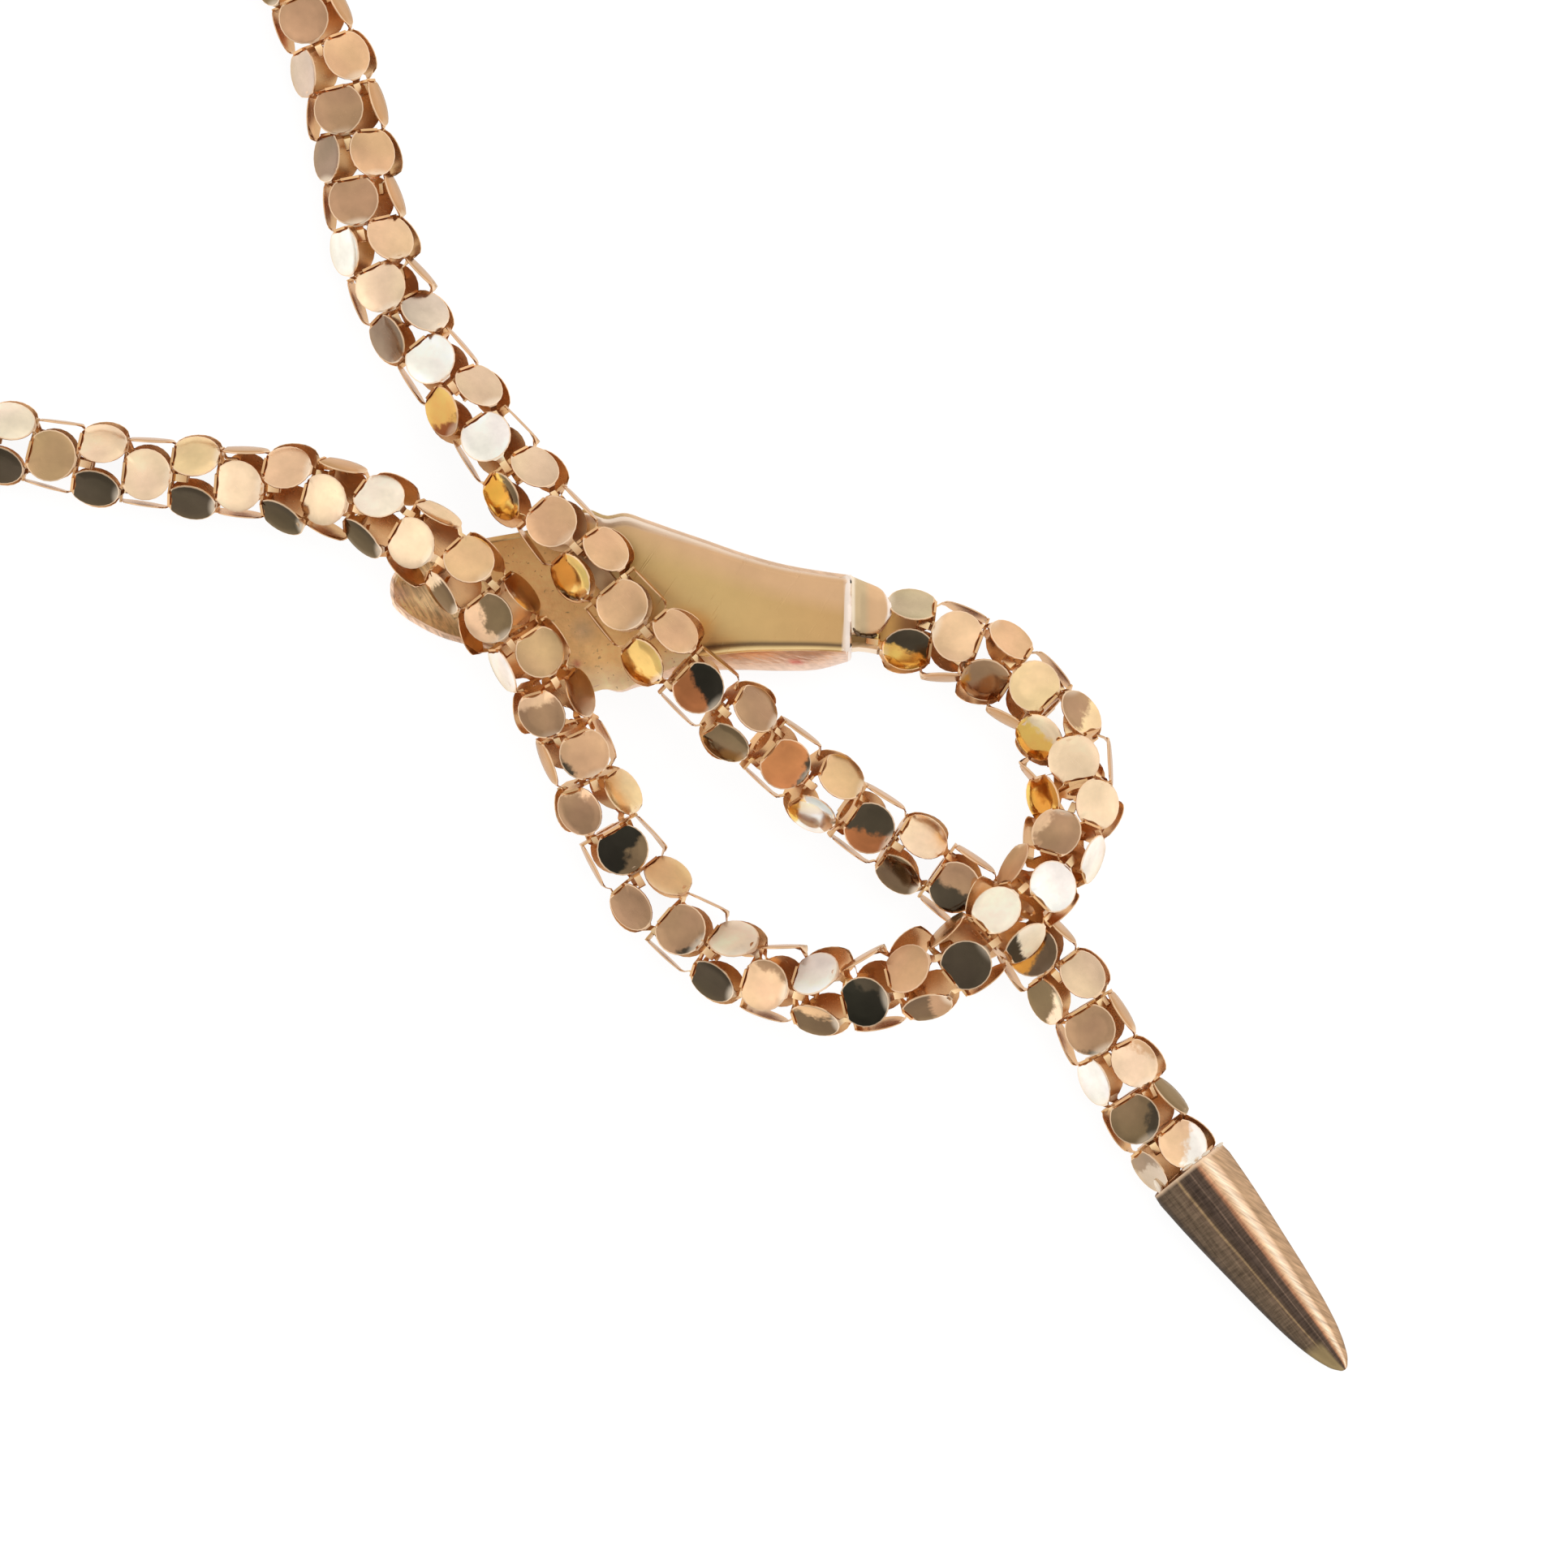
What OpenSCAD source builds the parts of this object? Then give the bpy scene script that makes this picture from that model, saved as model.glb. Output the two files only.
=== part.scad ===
// Gold snake necklace lying on a flat surface, back of the head upward.
// The body is a hollow chain of four-petalled cups, each hooked into the next.
// All sizes are in millimetres; z = 0 is the surface it lies on.

/* [Link] */
// distance from the chain's centre line to the middle of each disc
disc_offset = 2.44; // [2.0:0.02:3.0]
// radius of one round disc
disc_radius = 1.9; // [1.5:0.01:2.2]
// thickness of the sheet metal
sheet = 0.2; // [0.15:0.01:0.35]
// distance from the disc's middle back to its straight fold
fold = 1.72; // [1.4:0.01:1.9]
// outward lean of every disc, so that it rides over the next one
lean = 2; // [0:0.5:6]
// extra lean per degree of bend on the inner side of a curve
lean_bend = 1.25; // [0:0.05:1.6]
// extra lean per millimetre where the links are pushed together
lean_close = 18; // [0:1:24]
// half the width of the hooked tongue
tongue_half = 0.27; // [0.2:0.01:0.4]
// how far the tongue reaches from the disc's middle
tongue_reach = 3.5; // [3.0:0.05:3.8]
// radius at which the tongue runs over the next cup's bar
tongue_level = 2.08; // [1.9:0.01:2.2]
// radius down to which the hooked end turns in
hook_end = 1.25; // [1.0:0.05:1.6]

/* [Plate of the cup] */
// distance from the centre line to the bar the tongue hooks over
bar_radius = 1.68; // [1.4:0.02:1.9]
// radius of the round hole in the plate
plate_hole = 1.05; // [0.6:0.05:1.3]
// half the width of the arm that carries each disc
arm_half = 0.74; // [0.6:0.02:0.9]

/* [Chain] */
// number of the last link of the head side before the joining link
head_side_links = 72; // [60:1:72]
// number of the last link of the tail side before the joining link
tail_side_links = 66; // [55:1:66]
// where along the pitch the plate of each link sits
plate_share = 0.45; // [0.35:0.01:0.55]

/* [Head] */
// wall of the pressed head
head_wall = 0.4; // [0.3:0.05:0.7]
// radius of the hole from the neck into the hollow head
neck_hole = 1.5; // [0.8:0.1:2.0]
// length of the flat clasp tongue behind the head
clasp_length = 6; // [4:0.5:8]

/* [Tail tip] */
// height of the tail tip's centre line at its mouth
tip_height = 3.5; // [3.4:0.02:3.8]
// drop of the centre line towards the point
tip_drop = 1.7; // [1.0:0.1:2.4]

/* [Hidden] */
$fn = 48;
gold = [0.86, 0.66, 0.46];

// Route of the head side, counted from the head outward.
// Columns: link number, x, y, z, turn about the centre line in degrees.
head_route = [
    [-1, 51.9, -30.0, 3.3, -12],
    [2, 64.3, -31.3, 3.38, -11],
    [4, 70.3, -35.4, 3.7, -10],
    [5, 72.35, -38.4, 4.35, -10],
    [6, 73.4, -41.8, 5.2, -12],
    [7, 73.3, -45.2, 6.3, -18],
    [8, 72.2, -48.3, 7.5, -24],
    [9, 70.3, -51.2, 9.25, -29],
    [10, 67.6, -53.8, 10.1, -31],
    [11, 64.7, -56.3, 9.95, -32],
    [12, 61.3, -58.2, 8.8, -32],
    [13, 57.6, -59.3, 7.6, -34],
    [14, 53.7, -59.4, 6.3, -35],
    [16, 46.3, -56.9, 4.3, -40],
    [18, 40.2, -51.6, 3.5, -46],
    [20, 36.2, -44.5, 4.2, -54],
    [21, 34.7, -40.5, 5.2, -57],
    [22, 33.1, -36.8, 6.4, -60],
    [23, 31.2, -33.1, 7.4, -64],
    [24, 28.9, -29.7, 7.8, -66],
    [25, 26.2, -26.8, 7.5, -68],
    [26, 23.1, -24.2, 6.7, -71],
    [27, 19.7, -22.3, 5.6, -73],
    [28, 16.1, -20.7, 4.5, -76],
    [30, 8.8, -19.8, 3.4, -81],
    [33, -2.2, -18.5, 3.3, -86],
    [36, -13.0, -15.8, 3.3, -88],
    [40, -27.4, -12.6, 3.3, -88],
    [44, -41.8, -9.3, 3.3, -88],
    [48, -56.2, -6.0, 3.3, -88],
    [52, -69.6, -0.2, 3.3, -88],
    [56, -80.6, 9.6, 3.3, -88],
    [60, -88.0, 22.4, 3.3, -88],
    [64, -91.0, 36.8, 3.3, -88],
    [68, -89.3, 51.4, 3.3, -88],
    [72, -83.2, 64.7, 3.3, -88],
    [75, -76.0, 73.1, 3.3, -88]
];

// Route of the tail side, counted from the tail tip back.
// Columns: link number, x, y, z, turn about the centre line in degrees.
tail_route = [
    [-1, 85.5, -77.1, 3.35, -73],
    [2, 78.2, -68.5, 3.35, -73],
    [4, 74.7, -61.7, 3.35, -79],
    [6, 70.1, -55.6, 3.35, -81],
    [8, 64.0, -50.8, 3.4, -83],
    [10, 57.1, -46.1, 4.1, -85],
    [11, 53.7, -43.7, 5.3, -85],
    [12, 50.5, -41.1, 6.7, -86],
    [13, 47.3, -38.4, 7.9, -86],
    [14, 44.1, -35.6, 8.6, -87],
    [16, 38.5, -29.5, 8.6, -88],
    [18, 33.3, -23.1, 8.0, -86],
    [19, 30.6, -20.2, 7.3, -86],
    [20, 28.3, -17.0, 6.2, -86],
    [21, 26.3, -13.7, 5.1, -86],
    [22, 23.9, -10.7, 4.2, -86],
    [24, 19.9, -4.7, 3.4, -81],
    [26, 18.0, 2.1, 3.35, -78],
    [28, 17.1, 9.1, 3.35, -76],
    [31, 12.7, 19.6, 3.35, -76],
    [34, 8.9, 30.0, 3.35, -76],
    [38, 3.5, 43.7, 3.3, -76],
    [42, -2.0, 57.3, 3.3, -76],
    [46, -9.9, 69.7, 3.3, -76],
    [50, -21.2, 79.0, 3.3, -76],
    [54, -34.9, 84.3, 3.3, -76],
    [58, -49.5, 85.0, 3.3, -76],
    [62, -63.6, 81.2, 3.3, -76],
    [66, -75.9, 73.2, 3.3, -76],
    [69, -83.1, 64.8, 3.3, -76]
];

// Cross-sections of the head from the neck to the snout. The first rows are
// under the back plate; from the row at x = 37 on, the pressing is open.
// Columns: x, y of the plate's lower edge, y of the upper edge,
// bulge of the cheek below the plate, z of the rim, z of the front.
head_sections = [
    [55.6, -32.9, -27.0, 0.9, 6.0, 0.3],
    [53.5, -32.8, -26.7, 1.6, 5.7, 0.1],
    [50.5, -32.8, -26.15, 1.75, 5.3, 0.0],
    [47.5, -32.9, -25.3, 1.6, 4.9, 0.0],
    [44.5, -33.3, -24.25, 1.3, 4.5, 0.0],
    [42.0, -34.1, -23.4, 1.0, 4.3, 0.0],
    [40.0, -35.0, -22.7, 0.7, 4.15, 0.0],
    [38.4, -35.7, -22.2, 0.4, 4.05, 0.0],
    [37.0, -35.8, -22.4, 0.2, 3.95, 0.0],
    [35.5, -35.9, -21.9, 0, 3.85, 0.0],
    [33.5, -35.2, -22.5, 0, 3.7, 0.0],
    [31.0, -33.9, -23.5, 0, 3.6, 0.0],
    [28.5, -32.9, -24.0, 0, 3.55, 0.0],
    [26.2, -32.3, -24.4, 0, 3.5, 0.05],
    [24.2, -31.7, -24.8, 0, 3.45, 0.1],
    [22.4, -30.8, -25.5, 0, 3.3, 0.3],
    [21.2, -29.9, -26.2, 0, 3.0, 0.7],
    [20.5, -28.9, -27.3, 0, 2.6, 1.3]
];

// Half-widths of the tail tip. Columns: distance from the mouth, half-width.
tip_profile = [
    [0, 3.38],
    [3.1, 3.2],
    [8.7, 2.68],
    [12, 2.33],
    [14.8, 1.94],
    [17, 1.58],
    [18.4, 1.15],
    [19.05, 0.7],
    [19.4, 0.25]
];

fold_level = disc_offset - fold * sin(lean);

function unit(v) = v / norm(v);
function vals(table, i) = [table[i][1], table[i][2], table[i][3], table[i][4]];
function span(table, n, i = 0) =
    (i >= len(table) - 2 || n < table[i + 1][0]) ? i : span(table, n, i + 1);
function rate(table, i) =
    (vals(table, i + 1) - vals(table, i)) / (table[i + 1][0] - table[i][0]);
// slope of the route at a row: the two neighbouring rates, nearer one heavier
function slope(table, i) =
    i == 0 ? rate(table, 0)
    : i == len(table) - 1 ? rate(table, i - 1)
    : let (before = table[i][0] - table[i - 1][0],
           after = table[i + 1][0] - table[i][0])
      (rate(table, i - 1) * after + rate(table, i) * before) / (before + after);
// smooth curve through the rows of a route at link number n
function along(table, n) =
    let (i = span(table, n),
         h = table[i + 1][0] - table[i][0],
         q = (n - table[i][0]) / h)
    (2 * q * q * q - 3 * q * q + 1) * vals(table, i)
    + (q * q * q - 2 * q * q + q) * h * slope(table, i)
    + (3 * q * q - 2 * q * q * q) * vals(table, i + 1)
    + (q * q * q - q * q) * h * slope(table, i + 1);
function point(v) = [v[0], v[1], v[2]];
// place of link n's plate, and the direction from there to the plate ahead
function plate_at(table, n) = point(along(table, n + plate_share));
function ahead(table, n) =
    unit(plate_at(table, n - 1) - plate_at(table, n));
function sideways(t) = unit(cross([0, 0, 1], t));
function upward(t) = cross(t, sideways(t));
function turn(table, n) = along(table, n)[3] + 45 * (n % 2);
function side_axis(t, r) = sideways(t) * cos(r) + upward(t) * sin(r);
function out_axis(t, r) = upward(t) * cos(r) - sideways(t) * sin(r);
function frame_of(t, r, c) =
    let (s = side_axis(t, r), u = out_axis(t, r))
    [[t[0], s[0], u[0], c[0]], [t[1], s[1], u[1], c[1]],
     [t[2], s[2], u[2], c[2]], [0, 0, 0, 1]];
function link_frame(table, n) =
    let (t = ahead(table, n))
    frame_of(t, turn(table, n), plate_at(table, n) + fold * t);
function middle(table, n) = plate_at(table, n) + fold * ahead(table, n);
// lean of disc k of link n: more on the inner side of a bend
function disc_lean(table, n, k) =
    let (t = ahead(table, n),
         bend = ahead(table, n - 1) - t,
         gap = norm(middle(table, n - 1) - middle(table, n)),
         r = turn(table, n),
         out = out_axis(t, r) * cos(90 * k) - side_axis(t, r) * sin(90 * k))
    lean + lean_bend * max(0, bend * out * 180 / PI)
    + lean_close * max(0, 3.7 - gap);
// point of a leaning disc: distance along it and height above its sheet
function on_disc(tilt, a, h) =
    [-fold + (a + fold) * cos(tilt) - h * sin(tilt),
     fold_level + (a + fold) * sin(tilt) + h * cos(tilt)];

// one round disc with its straight fold, leaning outward from the fold
module disc(tilt) {
    translate([-fold, 0, fold_level])
        rotate([0, -tilt, 0])
            translate([fold, 0, -sheet / 2])
                linear_extrude(sheet)
                    difference() {
                        circle(disc_radius);
                        translate([-fold - disc_radius, 0])
                            square(disc_radius * 2, center = true);
                    }
}

// the narrow tongue that runs over the next bar and hooks down behind it
module tongue(tilt) {
    half = sheet / 2;
    root_low = on_disc(tilt, disc_radius - 0.3, -0.05);
    root_high = on_disc(tilt, disc_radius - 0.3, 0.05);
    rim = on_disc(tilt, disc_radius - 0.03, 0.07);
    landing = max(2.35, rim[0] + 0.27);
    rotate([90, 0, 0])
        linear_extrude(tongue_half * 2, center = true)
            polygon([root_low,
                     [landing - 0.08, tongue_level - half],
                     [tongue_reach - sheet, tongue_level - half],
                     [tongue_reach - sheet, hook_end],
                     [tongue_reach, hook_end],
                     [tongue_reach, tongue_level + half],
                     [landing, tongue_level + half],
                     rim,
                     root_high]);
}

// the plate across the chain: four arms, four bars and a round hole
module cup_plate(reach) {
    translate([-fold, 0, 0])
        rotate([0, 90, 0])
            linear_extrude(sheet, center = true)
                difference() {
                    union() {
                        rotate(45)
                            square(bar_radius * 2, center = true);
                        square([reach * 2, arm_half * 2], center = true);
                        square([arm_half * 2, reach * 2], center = true);
                    }
                    circle(plate_hole);
                }
}

// one whole cup of link number n of a route
module link(table, n) {
    multmatrix(link_frame(table, n))
        union() {
            cup_plate(fold_level + sheet / 2);
            for (k = [0:3])
                rotate([90 * k, 0, 0]) {
                    disc(disc_lean(table, n, k));
                    tongue(disc_lean(table, n, k));
                }
        }
}

module head_chain() {
    color(gold)
        for (n = [1:head_side_links])
            link(head_route, n);
}

module tail_chain() {
    color(gold)
        for (n = [1:tail_side_links])
            link(tail_route, n);
}

// two cups soldered plate to plate at the back of the neck
module joining_link() {
    color(gold)
        union() {
            link(head_route, head_side_links + 1);
            link(tail_route, tail_side_links + 1);
            multmatrix(link_frame(head_route, head_side_links + 1))
                translate([-fold - 0.62, 0, 0])
                    rotate([0, 90, 0])
                        linear_extrude(0.6)
                            difference() {
                                circle(bar_radius - 0.05);
                                circle(plate_hole + 0.05);
                            }
        }
}

// ring of points around one cross-section of the head, moved in by `wall`;
// its upper half lies `drop` below the rim and is crowned by `crown`
ring_count = 32;
function ease(v, p) = sign(v) * pow(abs(v), p);
function ring(row, wall, drop, crown) =
    let (mid = (row[1] + row[2]) / 2,
         half = (row[2] - row[1]) / 2 - wall,
         rim = row[4] - drop,
         deep = rim - row[5] - wall)
    [for (i = [0:ring_count - 1])
        let (c = cos(360 * i / ring_count),
             s = sin(360 * i / ring_count),
             low = pow(max(0, -s), 0.8),
             cheek = c < 0 && s < 0 ? row[3] * sin(180 * low) : 0)
        [row[0],
         mid + half * ease(c, 0.75) - cheek,
         s >= 0 ? rim + crown * s : rim - deep * low]];

// closed body lofted through a list of equal rings
module loft(rings) {
    count = len(rings);
    m = ring_count;
    points = [for (r = rings) each r];
    walls = [for (j = [0:count - 2]) for (i = [0:m - 1])
        let (a = j * m + i,
             b = j * m + (i + 1) % m,
             c = (j + 1) * m + (i + 1) % m,
             d = (j + 1) * m + i)
        each [[a, b, c], [a, c, d]]];
    near_end = [[for (i = [m - 1:-1:0]) i]];
    far_end = [[for (i = [0:m - 1]) (count - 1) * m + i]];
    polyhedron(concat(points), concat(walls, near_end, far_end));
}

// the pressed head: its front downward, open behind the snout and jaws,
// closed behind the neck by a plate
module head() {
    closed = [for (row = head_sections) if (row[0] > 36.5 && row[0] < 55) row];
    open = [for (row = head_sections) if (row[0] > 21 && row[0] < 39) row];
    neck = link_frame(head_route, 0);
    mouth = head_sections[0];
    level = fold_level + sheet / 2;
    color(gold)
        union() {
            difference() {
                loft([for (row = head_sections) ring(row, 0, 0, 0.3)]);
                loft(concat(
                    [ring([54.9, mouth[1], mouth[2], mouth[3], mouth[4], mouth[5]],
                          head_wall, 0.35, 0.25)],
                    [for (row = closed) ring(row, head_wall, 0.35, 0.25)]));
                loft([for (row = open) ring(row, head_wall, -1, 0.2)]);
                multmatrix(neck)
                    translate([-1.2, 0, 0])
                        rotate([0, 90, 0])
                            cylinder(r = neck_hole, h = 4);
            }
            // soldered collar with the plate the first cup hooks into
            multmatrix(neck)
                union() {
                    cup_plate(level - 0.15);
                    translate([-fold, 0, 0])
                        rotate([0, 90, 0])
                            linear_extrude(fold + 1.3)
                                difference() {
                                    collar_shape(level);
                                    collar_shape(level - 0.25);
                                }
                }
            // flat clasp tongue soldered behind the head, under the tail side
            translate([38.6, -29.6, 0])
                rotate([0, 0, 129])
                    union() {
                        translate([0, -0.75, 4.8])
                            cube([clasp_length, 1.5, 0.24]);
                        translate([0, -0.75, 4.0])
                            cube([1.2, 1.5, 1.0]);
                    }
        }
}

// square with cut corners, half as wide as `reach`
module collar_shape(reach) {
    intersection() {
        square(reach * 2, center = true);
        rotate(45)
            square(reach * 2.36, center = true);
    }
}

// the bullet-shaped tail tip, open at its mouth, with the last plate inside
module tail_tip() {
    aim = unit([12.2, -15.5, -tip_drop]);
    last = len(tip_profile) - 1;
    shell = [for (p = tip_profile) [p[1], p[0]]];
    hollow = [[0, 14.5], [1.4, 14.5], [1.95, 12], [2.3, 8.7], [2.8, 3.1],
              [2.95, 0]];
    color(gold)
        union() {
            multmatrix(frame_of(aim, 0, [82.03, -73.08, tip_height]))
                rotate([0, 90, 0])
                    rotate_extrude()
                        polygon(concat(shell, [[0, tip_profile[last][0]]],
                                       hollow));
            multmatrix(link_frame(tail_route, 0))
                cup_plate(3.15);
        }
}

head();
head_chain();
joining_link();
tail_chain();
tail_tip();
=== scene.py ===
# %% [markdown]
# A gold snake choker
#
# The necklace lies flat, with the back of the snake's head up. Its body is a
# hollow chain of small cups. Each cup has four round discs folded forward from
# a plate, and a tongue on each disc hooks over the plate of the next cup. The
# packed model gives the size and place of everything, so this script only adds
# the finer shapes, the metal and the light.

# %% Load the frame
import random
from math import atan2, copysign, cos, degrees, hypot, pi, radians, sin
import bpy
import bmesh
import numpy as np
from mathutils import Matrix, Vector


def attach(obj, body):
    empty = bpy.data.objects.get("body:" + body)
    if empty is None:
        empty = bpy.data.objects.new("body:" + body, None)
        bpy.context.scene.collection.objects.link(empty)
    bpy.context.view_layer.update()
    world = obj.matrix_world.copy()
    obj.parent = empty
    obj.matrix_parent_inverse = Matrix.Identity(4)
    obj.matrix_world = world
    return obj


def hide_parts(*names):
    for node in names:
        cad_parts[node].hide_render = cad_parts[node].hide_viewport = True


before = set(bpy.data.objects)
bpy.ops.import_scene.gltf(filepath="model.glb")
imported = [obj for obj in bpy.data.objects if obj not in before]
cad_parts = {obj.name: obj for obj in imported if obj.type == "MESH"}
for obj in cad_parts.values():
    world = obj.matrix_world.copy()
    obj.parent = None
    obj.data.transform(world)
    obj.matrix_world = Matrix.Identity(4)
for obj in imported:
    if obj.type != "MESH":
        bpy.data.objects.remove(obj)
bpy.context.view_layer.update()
MM = 0.001
print("frame nodes:", sorted(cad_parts))

# %% [markdown]
# Helpers
#
# Small helpers come first. Operators act on whatever is selected, so every new
# piece starts with nothing selected. Faces are then picked in code by their
# place, as one would click on them by hand.

# %% Helpers for working on one piece at a time


def nothing_selected():
    """Leaves edit mode and deselects all objects."""
    if bpy.context.object and bpy.context.object.mode != "OBJECT":
        bpy.ops.object.mode_set(mode="OBJECT")
    bpy.ops.object.select_all(action="DESELECT")


def only(obj):
    """Selects one object and makes it the active one."""
    nothing_selected()
    obj.select_set(True)
    bpy.context.view_layer.objects.active = obj
    return obj


def pick_faces(obj, wanted):
    """In edit mode, selects the faces for which wanted(face) is true."""
    mesh = bmesh.from_edit_mesh(obj.data)
    bpy.ops.mesh.select_all(action="DESELECT")
    for face in mesh.faces:
        if wanted(face):
            face.select_set(True)
    mesh.select_flush_mode()
    bmesh.update_edit_mesh(obj.data)


def start_editing(obj):
    """Opens a piece in edit mode with all of it selected."""
    only(obj)
    bpy.ops.object.mode_set(mode="EDIT")
    bpy.ops.mesh.select_all(action="SELECT")


def stop_editing():
    bpy.ops.object.mode_set(mode="OBJECT")


def extrude(step):
    bpy.ops.mesh.extrude_region_move(TRANSFORM_OT_translate={"value": step})


def placed(scale=False):
    """Puts a new primitive's place into its mesh."""
    bpy.ops.object.transform_apply(location=True, rotation=False, scale=scale)
    return bpy.context.object


def smooth(obj, angle=40):
    """Shades a piece smooth, but for edges sharper than the angle."""
    only(obj)
    bpy.ops.object.shade_smooth_by_angle(angle=radians(angle))


def tell(*objs):
    """Prints the name and size of new pieces."""
    for obj in objs:
        print(f"{obj.name}: {len(obj.data.polygons)} faces")


def apply(obj, kind, **settings):
    """Adds a modifier, sets it and applies it."""
    only(obj)
    changer = obj.modifiers.new(kind.lower(), kind)
    for key, value in settings.items():
        setattr(changer, key, value)
    bpy.ops.object.modifier_apply(modifier=changer.name)


def join(objs, name):
    """Joins several objects into the first one."""
    only(objs[0])
    for other in objs[1:]:
        other.select_set(True)
    bpy.ops.object.join()
    objs[0].name = objs[0].data.name = name
    return objs[0]


# %% [markdown]
# The route of the chain
#
# Two tables give the place of the cups in millimetres: one row for every few
# cups, with the turn of the cup about the chain's own line. A smooth curve
# through the rows gives every cup between them. The rows are those of the
# packed model, so each new cup falls on its own solid. Only the first seven
# cups behind the head are turned up to 20 degrees further and moved by up to
# 0.7 mm, as a closer look at the photo showed.

# %% Route tables
# cup number, x, y and height of its plate, turn in degrees
HEAD_ROUTE = [
    (-1, 51.9, -30.5, 3.3, 6), (2, 64.1, -32.0, 3.38, 9),
    (4, 69.95, -36.0, 3.7, 9), (5, 72.25, -38.9, 4.35, 6),
    (6, 73.4, -42.1, 5.2, -3), (7, 73.3, -45.3, 6.3, -13),
    (8, 72.2, -48.3, 7.5, -24), (9, 70.3, -51.2, 9.25, -29),
    (10, 67.6, -53.8, 10.1, -31), (11, 64.7, -56.3, 9.95, -32),
    (12, 61.3, -58.2, 8.8, -32), (13, 57.6, -59.3, 7.6, -34),
    (14, 53.7, -59.4, 6.3, -35), (16, 46.3, -56.9, 4.3, -40),
    (18, 40.2, -51.6, 3.5, -46), (20, 36.2, -44.5, 4.2, -54),
    (21, 34.7, -40.5, 5.2, -57), (22, 33.1, -36.8, 6.4, -60),
    (23, 31.2, -33.1, 7.4, -64), (24, 28.9, -29.7, 7.8, -66),
    (25, 26.2, -26.8, 7.5, -68), (26, 23.1, -24.2, 6.7, -71),
    (27, 19.7, -22.3, 5.6, -73), (28, 16.1, -20.7, 4.5, -76),
    (30, 8.8, -19.8, 3.4, -81), (33, -2.2, -18.5, 3.3, -86),
    (36, -13.0, -15.8, 3.3, -88), (40, -27.4, -12.6, 3.3, -88),
    (44, -41.8, -9.3, 3.3, -88), (48, -56.2, -6.0, 3.3, -88),
    (52, -69.6, -0.2, 3.3, -88), (56, -80.6, 9.6, 3.3, -88),
    (60, -88.0, 22.4, 3.3, -88), (64, -91.0, 36.8, 3.3, -88),
    (68, -89.3, 51.4, 3.3, -88), (72, -83.2, 64.7, 3.3, -88),
    (75, -76.0, 73.1, 3.3, -88)]
TAIL_ROUTE = [
    (-1, 85.5, -77.1, 3.35, -73), (2, 78.2, -68.5, 3.35, -73),
    (4, 74.7, -61.7, 3.35, -79), (6, 70.1, -55.6, 3.35, -81),
    (8, 64.0, -50.8, 3.4, -83), (10, 57.1, -46.1, 4.1, -85),
    (11, 53.7, -43.7, 5.3, -85), (12, 50.5, -41.1, 6.7, -86),
    (13, 47.3, -38.4, 7.9, -86), (14, 44.1, -35.6, 8.6, -87),
    (16, 38.5, -29.5, 8.6, -88), (18, 33.3, -23.1, 8.0, -86),
    (19, 30.6, -20.2, 7.3, -86), (20, 28.3, -17.0, 6.2, -86),
    (21, 26.3, -13.7, 5.1, -86), (22, 23.9, -10.7, 4.2, -86),
    (24, 19.9, -4.7, 3.4, -81), (26, 18.0, 2.1, 3.35, -78),
    (28, 17.1, 9.1, 3.35, -76), (31, 12.7, 19.6, 3.35, -76),
    (34, 8.9, 30.0, 3.35, -76), (38, 3.5, 43.7, 3.3, -76),
    (42, -2.0, 57.3, 3.3, -76), (46, -9.9, 69.7, 3.3, -76),
    (50, -21.2, 79.0, 3.3, -76), (54, -34.9, 84.3, 3.3, -76),
    (58, -49.5, 85.0, 3.3, -76), (62, -63.6, 81.2, 3.3, -76),
    (66, -75.9, 73.2, 3.3, -76), (69, -83.1, 64.8, 3.3, -76)]
print(len(HEAD_ROUTE), "and", len(TAIL_ROUTE), "rows")

# %% A smooth curve through the rows


def through(rows, n):
    """Point of the smooth curve through the rows at n, without the key."""
    keys = [row[0] for row in rows]
    points = [np.array(row[1:], float) for row in rows]
    last = len(rows) - 1
    i = min(max(sum(k <= n for k in keys) - 1, 0), last - 1)

    def rate(j):
        return (points[j + 1] - points[j]) / (keys[j + 1] - keys[j])

    def slope(j):
        if j == 0:
            return rate(0)
        if j == last:
            return rate(last - 1)
        before, after = keys[j] - keys[j - 1], keys[j + 1] - keys[j]
        return (rate(j - 1) * after + rate(j) * before) / (before + after)

    h = keys[i + 1] - keys[i]
    q = (n - keys[i]) / h
    return ((2 * q**3 - 3 * q**2 + 1) * points[i] + (q**3 - 2 * q**2 + q) * h * slope(i)
            + (3 * q**2 - 2 * q**3) * points[i + 1] + (q**3 - q**2) * h * slope(i + 1))


print("cup 3 of the head side:", through(HEAD_ROUTE, 3).round(2))

# %% [markdown]
# Place and lean of one cup
#
# A cup looks along the chain to the plate of the cup before it, and every
# other cup is turned by 45 degrees, so its discs fill the gaps of the last.
# On the inner side of a bend the discs are pushed open by their neighbours,
# so they lean outwards more there.

# %% Place and lean of one cup
FOLD = 1.72            # from a disc's middle back to its fold
DISC = 1.9             # radius of a disc
OFFSET = 2.44          # from the chain's line to a disc
LEAN = 2.0             # outward lean of every disc, in degrees
BEND_LEAN = 1.25       # further lean for each degree that the chain bends
PITCH = 3.7            # usual way from cup to cup
CLOSE_LEAN = 18        # further lean for each millimetre that cups close up
SAG = 6.0              # further lean of the lower side discs, which hang open
FOLD_LEVEL = OFFSET - FOLD * sin(radians(LEAN))


def unit(v):
    return v / np.linalg.norm(v)


def plate_at(route, n):
    return through(route, n + 0.45)[:3]


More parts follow.
